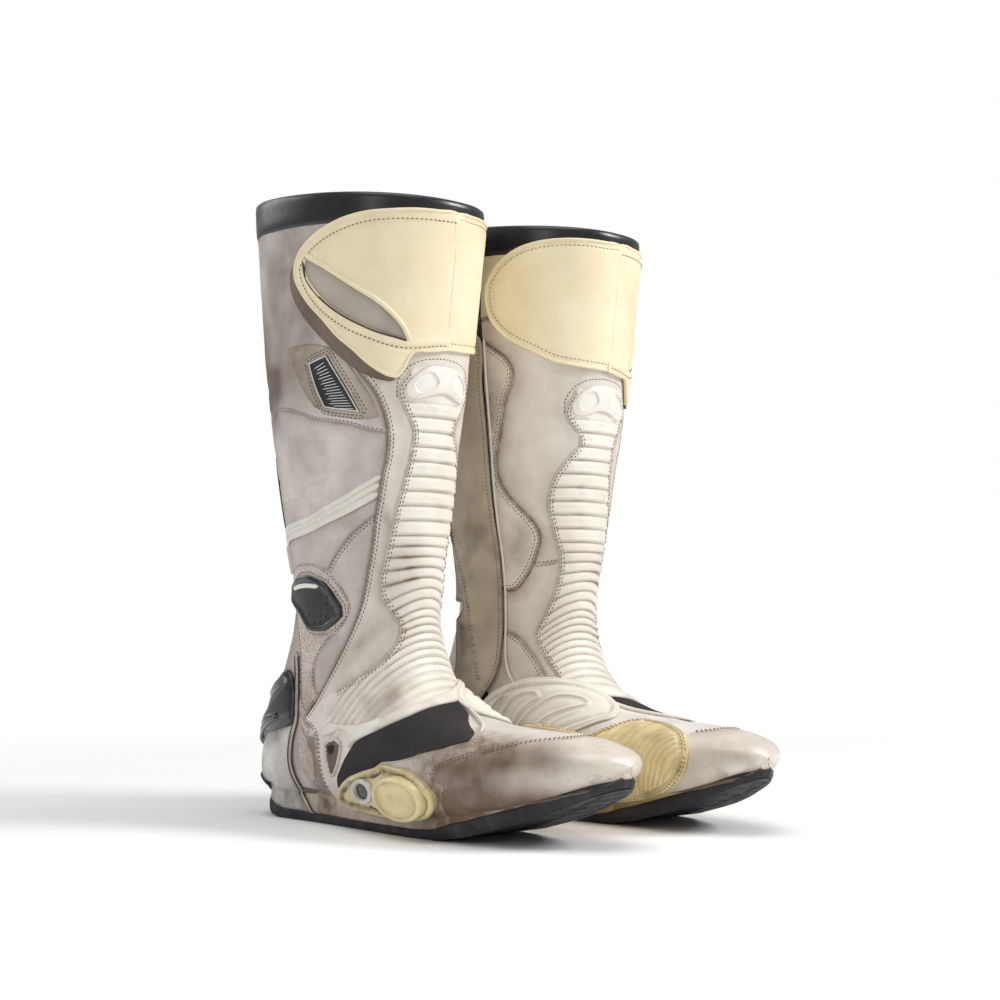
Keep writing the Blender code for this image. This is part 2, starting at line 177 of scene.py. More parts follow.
def triangulated(points, n):
    """Points in a plane, the first n of them its outline: the points used and their triangles."""
    verts, _, tris, _, _, _ = delaunay_2d_cdt([Vector(p) for p in points], [(i, (i + 1) % n) for i in range(n)],
                                              [list(range(n))], 1, 1e-4)
    return np.array([tuple(p) for p in verts]), np.array(tris)


def curve(points, closed=False, step=1.2):
    """A smooth line through (v, theta) points, evenly spaced in millimetres. A third number marks a sharp
    corner."""
    sharp = np.array([len(p) > 2 for p in points])
    c = np.array([p[:2] for p in points], float)
    if closed:
        c, sharp = np.vstack([c[-1:], c, c[:2]]), np.concatenate([sharp[-1:], sharp, sharp[:2]])
    else:
        c, sharp = np.vstack([2 * c[0] - c[1], c, 2 * c[-1] - c[-2]]), np.concatenate([[False], sharp, [False]])
    p = base(c[:, 0].clip(0, RIM), c[:, 1])
    h = np.maximum(np.linalg.norm(np.diff(p, axis=0), axis=1), 1e-6)
    out = []
    u = np.linspace(0, 1, 14, endpoint=False)[:, None]
    for k in range(1, len(c) - 2):
        h0, h1, h2 = h[k - 1], h[k], h[k + 1]
        m1 = ((c[k + 1] - c[k]) / h1 * h0 + (c[k] - c[k - 1]) / h0 * h1) / (h0 + h1) * h1
        m2 = ((c[k + 2] - c[k + 1]) / h2 * h1 + (c[k + 1] - c[k]) / h1 * h2) / (h1 + h2) * h1
        m1 = c[k + 1] - c[k] if sharp[k] else m1
        m2 = c[k + 1] - c[k] if sharp[k + 1] else m2
        out.append((2 * u ** 3 - 3 * u ** 2 + 1) * c[k] + (u ** 3 - 2 * u ** 2 + u) * m1
                   + (-2 * u ** 3 + 3 * u ** 2) * c[k + 1] + (u ** 3 - u ** 2) * m2)
    out = np.vstack(out + [c[-2:-1] if not closed else out[0][:1]])
    out[:, 0] = out[:, 0].clip(TIP, RIM)
    length = travel(on(out))
    count = max(int(length[-1] / step), 6)
    s = np.linspace(0, length[-1], count + 1)
    out = np.stack([np.interp(s, length, out[:, 0]), np.interp(s, length, out[:, 1])], 1)
    return out[:-1] if closed else out


def shifted(line, d, closed=False):
    """The line moved d millimetres to its left on the surface, seen from outside."""
    if closed:
        ahead, behind = np.roll(line, -1, 0), np.roll(line, 1, 0)
    else:
        ahead = np.vstack([line[1:], line[-1:]])
        behind = np.vstack([line[:1], line[:-1]])
    v, th = line[:, 0], line[:, 1]
    tangent = unit(on(ahead) - on(behind))
    n = normals(v, th)
    left = unit(np.cross(n, tangent))
    above = np.minimum(v + .02, RIM)
    a = (base(above, th) - base(v - .02, th)) / (above - v + .02)[:, None]
    b = (base(v, th + .5) - base(v, th - .5))
    aa, ab, bb = (a * a).sum(1), (a * b).sum(1), (b * b).sum(1)
    al, bl = (a * left).sum(1), (b * left).sum(1)
    det = np.maximum(aa * bb - ab * ab, 1e-9)
    dv, dt = (al * bb - bl * ab) / det, (bl * aa - al * ab) / det
    out = line + np.stack([dv, dt], 1) * d
    out[:, 0] = out[:, 0].clip(TIP, RIM - .005)
    return out


def nearest(p, line3, closed=False):
    """Distance from points p to a polyline, the part of a turn along it, and which segment."""
    ends = np.roll(line3, -1, 0) if closed else line3[1:]
    starts = line3 if closed else line3[:-1]
    best = np.full(len(p), 1e9)
    where = np.zeros(len(p), int)
    frac = np.zeros(len(p))
    for k, (a, b) in enumerate(zip(starts, ends)):
        ab = b - a
        t = np.clip(((p - a) @ ab) / max(ab @ ab, 1e-9), 0, 1)
        q = p - a - t[:, None] * ab
        d = np.einsum("ij,ij->i", q, q)
        m = d < best
        best[m], where[m], frac[m] = d[m], k, t[m]
    return np.sqrt(best), where, frac


def inside(v, th, loop):
    """Whether (v, theta) lies in a closed loop of (v, theta) points."""
    hit = np.zeros(v.shape, bool)
    for a, b in zip(loop, np.roll(loop, -1, 0)):
        if a[0] == b[0]:
            continue
        cross = (v >= min(a[0], b[0])) & (v < max(a[0], b[0]))
        hit ^= cross & (th < a[1] + (v - a[0]) / (b[0] - a[0]) * (b[1] - a[1]))
    return hit


def winding(loop):
    """+1 if moving a closed line to its left brings it inwards, else -1."""
    trial = shifted(loop, .5, True)
    return 1 if inside(trial[:, 0], trial[:, 1], loop).mean() > .5 else -1


# ---------------------------------------------------------------- the grid that all the leather shares
def grid_lines():
    """The grid's v lines, 1.4 mm apart where the surface is widest."""
    fine = np.linspace(TIP, RIM, 3400)
    ang = np.array([0, 30, 60, 90, 120, -30, -60, -90, -120, 180])
    p = base(fine[:, None], ang[None])
    speed = np.linalg.norm(np.diff(p, axis=0), axis=2)
    mid = (fine[1:] + fine[:-1]) / 2
    speed[mid < 9.2, 9] = 0
    s = np.concatenate([[0], np.cumsum(np.maximum(speed.max(1), 1e-4))])
    return np.interp(np.linspace(0, s[-1], int(s[-1] / 1.4)), s, fine)


V = grid_lines()
T_START, T_END, T_STEP = -96, 264, 1.25
# finer where it bends most
CORNER_T = np.array([-90, 0, 90, 180])[:, None] + np.array([-.7, -.25, 0, .25, .7])[None]
T = np.unique(np.round(np.concatenate([np.arange(T_START, T_END, T_STEP), CORNER_T.ravel()]), 3))
VV, TT = np.meshgrid(V, T, indexing="ij")
GV, GT = VV.ravel(), TT.ravel()
GP = base(GV, GT)
GN = normals(GV, GT)
FRONT_Z = base(GV, np.zeros_like(GV))[:, 2]
FAR = 1e3  # the distance given to what is out of reach


def field(points, reach=12.0, closed=False):
    """Distance of each grid point to a surface line, and its side of it (+1 left)."""
    line3 = on(curve(points, closed))
    lo, hi = line3.min(0) - reach, line3.max(0) + reach
    m = np.flatnonzero(((GP > lo) & (GP < hi)).all(1))
    d = np.full(len(GP), FAR)
    side = np.zeros(len(GP))
    if len(m) == 0:
        return d, side
    dist, k, t = nearest(GP[m], line3, closed)
    ends = np.roll(line3, -1, 0) if closed else line3[1:]
    starts = line3 if closed else line3[:-1]
    seg = (ends - starts)[k]
    off = GP[m] - starts[k] - t[:, None] * seg
    d[m], side[m] = dist, np.sign(np.einsum("ij,ij->i", np.cross(GN[m], seg), off))
    d[d > reach] = FAR
    return d, side


def region(points, reach=12.0):
    """Distance inwards from a closed loop: positive inside it, negative outside, large when far from it."""
    loop = curve(points, True)
    d, _ = field(points, reach, True)
    inn = inside(GV, GT, loop) | inside(GV, GT - 360, loop)
    return np.where(inn, np.minimum(d, 99), -d)


# ---------------------------------------------------------------- meshes and materials
# the box at the heel's lower rear corner that becomes a quarter round
HEEL_BACK, HEEL_DEEP, HEEL_TALL = -66, 31, 30
TOE_LIFT, TOE_FROM, TOE_TO, TOE_TOP = 5.5, 175, 240, 62


def settled(p):
    """Rounds the heel's lower rear corner, and lifts the toe's underside."""
    p = np.array(p, float)
    a, b = np.clip((HEEL_BACK - p[:, 1]) / HEEL_DEEP, 0, None), np.clip((HEEL_TALL - p[:, 2]) / HEEL_TALL, 0, 1)
    k = np.where((a > 0) & (b > 0), np.maximum(a, b) / np.maximum(np.hypot(a, b), 1e-6), 1)
    p[:, 1] = np.where(a > 0, HEEL_BACK - HEEL_DEEP * a * k, p[:, 1])
    p[:, 2] = np.where(b > 0, HEEL_TALL - (HEEL_TALL - p[:, 2]) * k, p[:, 2])
    p[:, 2] += TOE_LIFT * ramp(p[:, 1], TOE_FROM, TOE_TO) * np.clip((TOE_TOP - p[:, 2]) / 27, 0, 1)
    return p


def to_row(p, side):
    s, x0, y0 = SIDES[side]
    p = settled(p)
    return np.stack([x0 + s * p[:, 0], y0 - p[:, 1], p[:, 2]], 1) * 0.001


def make(name, side, body, points, faces, mat, slot=None, replaces=False, slots=None, **attrs):
    """A mesh piece of one boot from millimetre points and lists of faces, riding on that boot's body.

    It stands in for the CAD node that slot names if replaces is set."""
    faces = [np.asarray(f, np.int64) for f in faces if len(f)]
    if side == "left":
        faces = [f[:, ::-1] for f in faces]
    me = bpy.data.meshes.new(f"{side}_{name}")
    co = to_row(np.asarray(points, float), side)
    me.vertices.add(len(co))
    me.vertices.foreach_set("co", co.astype(np.float32).ravel())
    me.loops.add(sum(f.size for f in faces))
    me.loops.foreach_set("vertex_index", np.concatenate([f.ravel() for f in faces]).astype(np.int32))
    me.polygons.add(sum(len(f) for f in faces))
    starts, at = [], 0
    for f in faces:
        starts.append(at + np.arange(len(f)) * f.shape[1])
        at += f.size
    me.polygons.foreach_set("loop_start", np.concatenate(starts).astype(np.int32))
    if slots is not None:
        used, slots = np.unique(slots, return_inverse=True)
        mat = [mat[k] for k in used]
        me.polygons.foreach_set("material_index", slots.astype(np.int32))
    me.update(calc_edges=True)
    me.shade_smooth()
    for key, value in attrs.items():
        a = me.attributes.new(key, "FLOAT", "POINT")
        a.data.foreach_set("value", np.broadcast_to(np.asarray(value, np.float32),
                                                    (len(co),)).astype(np.float32).copy())
    for m in mat if isinstance(mat, list) else [mat]:
        me.materials.append(m)
    o = bpy.data.objects.new(f"{side}_{name}", me)
    bpy.context.scene.collection.objects.link(o)
    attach(o, f"{side}_{body}")
    if replaces:
        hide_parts(f"{side}_{slot}")
    return o


class Nodes:
    """A small helper to write a material's nodes."""

    def __init__(self, name):
        self.mat = bpy.data.materials.new(name)
        self.mat.use_nodes = True
        self.t = self.mat.node_tree
        self.bsdf = self.t.nodes["Principled BSDF"]
        self.co = self.t.nodes.new("ShaderNodeTexCoord").outputs["Object"]

    def add(self, kind, inputs=None, **props):
        n = self.t.nodes.new(kind)
        for k, v in props.items():
            setattr(n, k, v)
        self.feed(n, inputs or {})
        return n

    def feed(self, n, inputs):
        for k, v in inputs.items():
            if isinstance(v, bpy.types.NodeSocket):
                self.t.links.new(v, n.inputs[k])
            else:
                n.inputs[k].default_value = v

    def noise(self, scale, detail=3, rough=.55, distortion=0.0):
        return self.add("ShaderNodeTexNoise", {"Vector": self.co, "Scale": scale, "Detail": detail,
                                               "Roughness": rough, "Distortion": distortion}).outputs["Fac"]

    def cells(self, scale, feature="F1"):
        return self.add("ShaderNodeTexVoronoi", {"Vector": self.co, "Scale": scale},
                        feature=feature).outputs["Distance"]

    def math(self, op, a, b=0.0, c=0.0, clamp=False):
        n = self.add("ShaderNodeMath", {0: a, 1: b, 2: c}, operation=op)
        n.use_clamp = clamp
        return n.outputs[0]

    def span(self, x, a, b, lo=0.0, hi=1.0):
        return self.add("ShaderNodeMapRange", {"Value": x, "From Min": a, "From Max": b, "To Min": lo,
                                               "To Max": hi}).outputs["Result"]

    def mix(self, f, a, b):
        return self.add("ShaderNodeMix", {0: f, 6: a, 7: b}, data_type="RGBA").outputs[2]

    def attr(self, name):
        return self.add("ShaderNodeAttribute", attribute_name=name).outputs["Fac"]

    def bump(self, height, strength, distance, under=None):
        put = {"Height": height, "Strength": strength, "Distance": distance}
        if under is not None:
            put["Normal"] = under
        return self.add("ShaderNodeBump", put).outputs["Normal"]

    def set(self, **inputs):
        names = {"color": "Base Color", "rough": "Roughness", "normal": "Normal", "metal": "Metallic",
                 "sheen": "Sheen Weight",
                 "spec": "Specular IOR Level", "coat": "Coat Weight", "coat_rough": "Coat Roughness"}
        self.feed(self.bsdf, {names[k]: v for k, v in inputs.items()})
        return self.mat


def rgb(r, g, b):
    """sRGB 0 to 255 as a linear colour."""
    return tuple((c / 255 / 12.92 if c <= 10 else ((c / 255 + .055) / 1.055) ** 2.4)
                 for c in (r, g, b)) + (1.0,)


def leather(name, light, dark, dirt_and_shade, grain=1100.0, rough=.5, bump=.22, wear=1.0, coat=0.0, crease=.35, spec=.45,
            even=False):
    """Aged leather: cloudy tone, pores, fine creases, and dirt, soft or patchy, where the mesh's grime
    attribute says; on the skins it also holds shade, painted in the dirt colour beside seams and under the
    collar."""
    light, dark, dirt_and_shade = rgb(*light), rgb(*dark), rgb(*dirt_and_shade)
    n = Nodes(name)
    tone = n.span(n.noise(28, 5, .6), .34, .68)
    colour = n.mix(tone, light, dark)
    fine = n.noise(420, 4, .7)
    colour = n.mix(n.span(fine, .42, .75, 0, .22), colour, dark)
    grime = n.attr("grime")
    spread = n.span(n.noise(60, 3, .5), .3, .7, .86,
                    1.08) if even else n.span(n.noise(95, 5, .65, .4), .25, .7, .55, 1.25)
    patchy = n.math("MULTIPLY", grime, spread)
    patchy = n.math("MULTIPLY", patchy, wear, clamp=True)
    colour = n.mix(patchy, colour, dirt_and_shade)
    scuff = n.math("MULTIPLY", n.span(n.noise(260, 6, .8, 1.2), .6, .72), n.span(n.noise(40, 2), .45, .62))
    colour = n.mix(n.math("MULTIPLY", scuff, .28 * wear), colour, dirt_and_shade)
    pores = n.cells(grain)
    lines = n.cells(grain * .42, "DISTANCE_TO_EDGE")
    tiny = n.bump(n.math("ADD", n.math("MULTIPLY", pores, -.5), n.span(lines, 0, .12, 0, .6)), bump, .0004)
    creased = n.bump(n.noise(150, 5, .62, .8), crease, .0007, tiny)
    r = n.math("ADD", n.span(fine, .3, .8, rough - .07, rough + .09), n.math("MULTIPLY", patchy, .14))
    return n.set(color=colour, rough=r, normal=creased, spec=spec, coat=coat, coat_rough=.25)


def hard(name, light, dark, dirt_and_shade, rough=.25, coat=.3, bump=.12, wear=.7):
    """Moulded plastic: slight mottling, scuffs, moulding grain and dirt by the grime attribute."""
    light, dark, dirt_and_shade = rgb(*light), rgb(*dark), rgb(*dirt_and_shade)
    n = Nodes(name)
    colour = n.mix(n.span(n.noise(45, 4), .35, .7), light, dark)
    grime = n.math("MULTIPLY", n.attr("grime"), n.span(n.noise(120, 4), .3, .7, .5, 1.3), clamp=True)
    colour = n.mix(n.math("MULTIPLY", grime, wear), colour, dirt_and_shade)
    drawn = n.add("ShaderNodeMapping", {"Vector": n.co, "Scale": (260, 260, 1400)}).outputs[0]
    scratch = n.add("ShaderNodeTexNoise", {"Vector": drawn, "Scale": 1.0, "Detail": 4,
                                           "Roughness": .8}).outputs["Fac"]
    colour = n.mix(n.math("MULTIPLY", n.span(scratch, .62, .75), .18 * wear), colour, dirt_and_shade)
    r = n.math("ADD", n.span(scratch, .35, .75, rough - .06, rough + .12), n.math("MULTIPLY", grime, .2))
    nor = n.bump(n.noise(900, 3, .6), bump, .0002, n.bump(scratch, .12, .0002))
    return n.set(color=colour, rough=r, normal=nor, coat=coat, coat_rough=.12, spec=.5)


# a darker copy of the collar's cream: partly the landing's own colour, partly painted shade by the collar's end
LANDING_AND_SHADE = leather("landing_leather_and_shade", (228, 218, 190), (210, 198, 168), (150, 132, 104), grain=1300, rough=.45,
                  bump=.12, crease=.2)
CREAM = leather("collar_leather", (248, 236, 204), (240, 224, 186), (190, 166, 124), grain=1300, rough=.42,
                bump=.12, crease=.12, wear=.7)
BONE = leather("bone_leather", (234, 228, 218), (214, 204, 192), (118, 92, 72), rough=.42, crease=.4)
PEARL = leather("calf_leather", (222, 214, 208), (188, 178, 170), (108, 90, 77), rough=.36, coat=.12, crease=.3,
                even=True)
INNER = leather("inner_leather", (244, 238, 226), (229, 220, 205), (112, 90, 70), rough=.4, crease=.35)
QUARTER = leather("quarter_leather", (242, 237, 231), (226, 219, 211), (128, 104, 88), rough=.4, crease=.3)
TOE = leather("toe_leather", (240, 232, 221), (212, 200, 186), (112, 92, 78), rough=.3, coat=.15, crease=.3,
              even=True, wear=1.0)
RIBS = leather("rib_leather", (243, 237, 227), (229, 220, 208), (122, 96, 74), rough=.42, bump=.16, crease=.2)
TAUPE = leather("taupe_leather", (206, 196, 182), (184, 171, 155), (108, 90, 74), rough=.45, crease=.5)
INLAY_SKIN = leather("inlay_leather", (196, 188, 176), (182, 172, 160), (120, 104, 90), rough=.45, crease=.3)
# dark taupe; under the collar's free edge its darkness is partly painted shade
UNDER = leather("under_leather", (128, 112, 98), (104, 88, 76), (60, 48, 40), rough=.55, crease=.4)
FLAP = leather("flap_leather", (206, 194, 175), (182, 168, 147), (96, 78, 58), rough=.42, crease=.35)
PAD = leather("pad_leather", (250, 246, 235), (242, 236, 222), (132, 112, 86), rough=.4, crease=.25)
SHIFT = leather("shift_leather", (246, 229, 182), (230, 209, 157), (132, 102, 60), rough=.46, crease=.3)
EDGE = leather("edge_paint", (110, 90, 72), (84, 66, 52), (48, 38, 30), grain=2000, rough=.6, crease=.2)
BAND = leather("band_leather", (244, 241, 232), (230, 225, 214), (150, 128, 104), rough=.4, crease=.2)
MATTE = leather("black_suede", (50, 48, 48), (36, 34, 36), (74, 68, 62), grain=1500, rough=.8, bump=.3,
                crease=.3, spec=.3)
SHELL = hard("heel_shell", (222, 219, 213), (188, 184, 176), (78, 70, 62), wear=.9)
SLIDER = hard("slider_plastic", (240, 224, 172), (222, 202, 146), (104, 76, 42), rough=.2, coat=.5, wear=1.0)
WHITE = hard("plate_white", (246, 243, 235), (236, 231, 222), (160, 142, 120), rough=.25, coat=.35)
INK = hard("badge_lines", (226, 230, 226), (206, 208, 202), (120, 116, 108), rough=.4, coat=.1)
BLACK = hard("guard_black", (20, 20, 23), (12, 12, 14), (70, 62, 56), rough=.16, coat=.7, bump=.05, wear=.12)
BADGE = hard("badge_black", (34, 34, 38), (24, 24, 27), (80, 76, 72), rough=.42, coat=.15, wear=.4)


def patent():
    n = Nodes("patent_band")
    colour = n.mix(n.span(n.noise(60, 3), .35, .7), rgb(18, 17, 19), rgb(34, 32, 34))
    wave = n.noise(30, 3, .5, .3)
    nor = n.bump(wave, .25, .002, n.bump(n.noise(600, 3), .08, .0002))
    return n.set(color=colour, rough=n.span(n.noise(200, 4), .3, .7, .26, .4), normal=nor, coat=.3,
                 coat_rough=.25, spec=.45)


def rubber():
    n = Nodes("sole_rubber")
    grain = n.cells(1500)
    colour = n.mix(n.span(n.noise(90, 5, .7), .35, .7), rgb(30, 29, 34), rgb(44, 42, 48))
    colour = n.mix(n.math("MULTIPLY", n.attr("grime"), n.span(n.noise(150, 5), .35, .75), clamp=True), colour,
                   rgb(92, 87, 84))
    nor = n.bump(grain, .25, .0003, n.bump(n.noise(220, 5), .3, .0006))
    return n.set(color=colour, rough=n.span(n.noise(120, 4), .3, .7, .48, .72), normal=nor, spec=.4)


def thread(name, col, dark):
    n = Nodes(name)
    wave = n.noise(2600.0, 2, .5)
    colour = n.mix(n.span(n.noise(70, 3), .4, .65), col, dark)
    return n.set(color=n.mix(n.span(wave, .4, .7), colour, dark), rough=.7, normal=n.bump(wave, .6, .0003))


def mesh_lining():
    n = Nodes("lining_mesh")
    holes = n.span(n.cells(520.0, "DISTANCE_TO_EDGE"), .03, .16)
    colour = n.mix(holes, rgb(70, 68, 70), rgb(30, 29, 31))
    colour = n.mix(n.span(n.noise(25, 3), .4, .65, 0, .35), colour, rgb(58, 54, 52))
    return n.set(color=colour, rough=.85, normal=n.bump(holes, .5, .0008), sheen=.25)


def metal(name, col, rough):
    n = Nodes(name)
    s = n.noise(500, 4, .7)
    return n.set(color=n.mix(n.span(s, .35, .7), col, tuple(c * .6 for c in col[:3]) + (1,)), metal=1.0,
                 rough=n.span(s, .3, .75, rough - .06, rough + .12), normal=n.bump(s, .15, .0002))


def perforated():
    """Pale leather with rows of punched holes."""
    n = Nodes("perforated_leather")
    holes = n.span(n.cells(780), .2, .42)
    tone = n.mix(n.span(n.noise(28, 5, .6), .34, .68), rgb(232, 222, 214), rgb(214, 202, 193))
    grime = n.math("MULTIPLY", n.attr("grime"), n.span(n.noise(95, 5), .3, .7, .5, 1.2), clamp=True)
    tone = n.mix(grime, tone, rgb(138, 112, 90))
    return n.set(color=n.mix(holes, rgb(150, 132, 120), tone), rough=.5,
                 normal=n.bump(holes, .6, .0008, n.bump(n.noise(300, 5), .3, .0004)))


PATENT, RUBBER, LINING, PERF = patent(), rubber(), mesh_lining(), perforated()
THREAD = thread("thread_grey", rgb(120, 106, 92), rgb(78, 68, 58))
PALE_THREAD = thread("thread_pale", rgb(214, 204, 188), rgb(150, 138, 122))
CREAM_THREAD = thread("thread_cream", rgb(158, 138, 98), rgb(112, 94, 62))
STEEL = metal("dark_steel", rgb(120, 118, 116), .3)
BOARD = leather("insole_fibre", (120, 108, 92), (100, 88, 74), (70, 60, 50), rough=.8)


# ---------------------------------------------------------------- heights of the leather
H = np.full(len(GV), SKIN)
GRIME_AND_SHADE = np.zeros(len(GV))
KIND = np.zeros(len(GV))  # which of KINDS each point of the leather is
KINDS = [BONE, PEARL, RIBS, TOE, QUARTER, INNER, LANDING_AND_SHADE]
ON_BONE, ON_CALF, ON_RIBS, ON_TOE, ON_QUARTER, ON_INNER, ON_LANDING = range(7)


SWELL_REACH, SWELL_FADE, SEAM_SHADE_FADE = 14, 7.0, 6.0


def groove(points, depth, width, bulge, side, dirt_and_shade):
    """A sewn line: a groove, dirt in it, the leather swelling away from it on one side, and painted shade
    beside it on the other.
    """
    global H, GRIME_AND_SHADE
    d, s = field(points, SWELL_REACH)
    cut = bell(d, 0, width)
    H = H - depth * cut
    swell = (s * side > 0) & (d < SWELL_REACH)
    H = H + bulge * swell * np.exp(-np.maximum(d - width, 0) / SWELL_FADE) * (1 - cut)
    GRIME_AND_SHADE = np.maximum(GRIME_AND_SHADE, dirt_and_shade * bell(d, 0, width * 1.6))
    # painted shade on the leather beside the seam, on the side that does not swell
    beside = (~swell & (d < SWELL_REACH)) * np.exp(-d / SEAM_SHADE_FADE) * ramp(d, SWELL_REACH, 9)
    GRIME_AND_SHADE = np.maximum(GRIME_AND_SHADE, .6 * dirt_and_shade * beside)


def ridge(points, height, radius, dirt_and_shade):
    """A rounded strip of leather, with dirt along both its edges."""
    global H, GRIME_AND_SHADE
    d, _ = field(points, 8)
    H = H + height * np.sqrt(np.clip(1 - (d / radius) ** 2, 0, 1))
    GRIME_AND_SHADE = np.maximum(GRIME_AND_SHADE, dirt_and_shade * bell(d, radius, 1.0))


RIB_EDGE_OUT = [(15.3, 23), (15.05, 30), (14.75, 25), (14.45, 19), (14.1, 20), (13.6, 25), (12.9, 33),
                (12.1, 40), (11.5, 43), (11.0, 41), (10.4, 33), (9.9, 27)]
RIB_EDGE_IN = [(15.3, -23), (14.98, -30), (14.5, -17), (14.2, -29), (13.8, -40), (13.3, -42), (12.7, -38),
               (12.0, -32), (11.2, -33), (10.5, -40), (9.9, -46.5), (9.3, -44), (8.0, -36)]
NOSE = [(9.9, 27), (9.55, 24), (9.2, 27), (8.97, 36), (8.95, 52), (9.15, 64), (9.45, 76)]
RIB_ZONE = RIB_EDGE_IN[::-1] + [(15.35, 0)] + RIB_EDGE_OUT + NOSE[1:] + [(9.2, 90), (8.6, 92), (8.0, 80),
                                                                         (7.3, 60), (6.9, 40), (6.9, 0)]
RIB_ZONE = [(7.0, -20)] + RIB_ZONE
SEAM_A = [(16.8, 60), (16.3, 58), (15.8, 55.5), (15.38, 53), (15.2, 47.5), (14.97, 42), (14.66, 37.5),
          (14.42, 36), (14.12, 37), (13.84, 40), (13.41, 44), (12.98, 48), (12.48, 51), (11.99, 54), (11.6, 55),
          (11.23, 56), (10.83, 59.5), (10.44, 66), (10.1, 76), (9.95, 85), (9.9, 92)]
TOE_SEAM = [(5.0, 91), (4.89, 86), (4.55, 78), (4.07, 66), (3.65, 54), (3.28, 40), (2.91, 24), (2.8, 0),
            (2.9, -20), (3.2, -36)]
TOE_SIDE = [(4.9, 88), (4.78, 95), (4.85, 110), (4.95, 125), (5.05, 136)]
PANEL_STITCH = [(6.45, 91), (5.94, 83), (5.26, 71.5), (4.7, 60), (4.36, 50), (4.42, 34)]
POCKET = [(15.19, 119), (15.25, 112), (15.21, 102), (15.1, 92), (14.97, 84), (14.86, 74), (14.72, 60),
          (14.56, 47), (14.48, 38)]
DIAGS = [[(14.07, 165), (14.06, 135), (13.8, 90), (13.77, 64), (13.86, 41)],
         [(14.01, 165), (14.0, 135), (13.74, 90), (13.67, 65), (13.74, 42)],
         [(13.96, 165), (13.95, 135), (13.66, 92), (13.55, 66), (13.58, 44)],
         [(13.84, 165), (13.85, 135), (13.57, 92), (13.41, 66), (13.4, 45)]]
CURVED = [(13.09, 48), (13.04, 57), (12.99, 66), (12.9, 74), (12.8, 81), (12.66, 87)]
P1 = [(16.1, -85), (15.98, -76), (15.84, -68), (15.72, -65), (15.55, -66), (15.36, -70), (15.1, -73),
      (14.85, -76), (14.5, -79), (14.3, -78), (14.08, -74), (13.74, -66), (13.33, -57), (12.99, -51),
      (12.73, -49), (12.51, -51), (12.25, -54), (12.0, -60), (11.9, -66), (12.0, -73), (12.2, -79)]
CROSS = [(12.2, -54), (12.03, -43), (11.9, -32)]
CUFF_SEAM = [(11.0, -74), (10.74, -65), (10.21, -56), (9.53, -51), (8.9, -48), (8.4, -46.5)]
HEEL_STRIP = [(11.5, 106), (11.2, 101.5), (10.9, 98), (10.4, 95), (10.12, 95.5), (9.9, 100), (9.56, 110),
              (9.25, 122), (9.05, 132), (8.98, 137.5)]
QUARTER_SEAM = [(9.9, 93), (9.5, 93), (9.2, 94.5), (8.79, 104), (8.41, 119), (8.1, 133)]
LOOP_EDGE = [(7.86, -31), (7.35, -27), (6.8, -17), (6.28, -8), (5.8, -3), (5.2, 4), (4.75, 15), (4.47, 30)]
LANDING_SEAM = [(16.3, -70), (16.27, -84), (16.28, -100), (16.31, -115, 1), (16.5, -116), (16.78, -117)]
BACK_HIGH = [(16.78, 180), (16.2, 180), (15.6, 180), (15.0, 180)]
BACK_LOW = [(14.0, 180), (13.0, 180), (12.2, 180), (11.6, 180)]
# each sewn line: depth, width, swelling, side that swells, dirt in it and painted shade beside it
GROOVES = [(RIB_EDGE_OUT + NOSE[1:], .7, 1.0, .6, 1, .55), (RIB_EDGE_IN, .7, 1.0, .6, -1, .55),
           (SEAM_A, 1.0, 1.1, 1.0, 1, .9), (TOE_SEAM, .6, .9, .5, 1, .6), (TOE_SIDE, .5, .9, .3, 1, .7),
           (POCKET, .7, .9, .7, 1, .7), (DIAGS[3], .8, 1.0, .4, 1, .8), (CURVED, .7, .9, .6, 1, .7),
           (P1, 1.0, 1.1, 1.0, 1, .95), (CROSS, .5, .8, 0, 1, .5), (CUFF_SEAM, .8, 1.0, .7, 1, .7),
           (LANDING_SEAM, .9, 1.1, .6, 1, .9), (BACK_HIGH, .7, 1.0, .5, 1, .7), (BACK_LOW, .7, 1.0, .5, 1, .7),
           (QUARTER_SEAM, .7, 1.0, .6, 1, .8)]


def across(line, v, after=0.0):
    """Theta of a line at each v, for a line that runs mostly down the boot."""
    order = np.argsort([p[0] for p in line])
    return np.interp(v, [line[i][0] for i in order], [line[i][1] for i in order]) + after


def rib_height(v, front, z):
    """The height by which the ribs are spaced: up the front, then fanning round the ankle."""
    return front * (1 - ramp(v, 10.2, 12.4)) + z * ramp(v, 10.2, 12.4)


RIBS_END, RIBS_START = 86, 293.0
RIB_GAPS = ((206, 10.2), (158, 7.2), (0, 5.6))  # above this height, ribs this far apart


def rib_lines():
    lines = [RIBS_START]
    while lines[-1] > RIBS_END:
        lines.append(lines[-1] - next(gap for above, gap in RIB_GAPS if lines[-1] > above))
    return np.array(lines[::-1])


RIB_Q = rib_height(GV, FRONT_Z, GP[:, 2]) + 2.2 * np.sin(np.radians(GT * 2.2)) * (1 - ramp(GV, 9.5, 11.5))
ZONE = region(RIB_ZONE, 20)


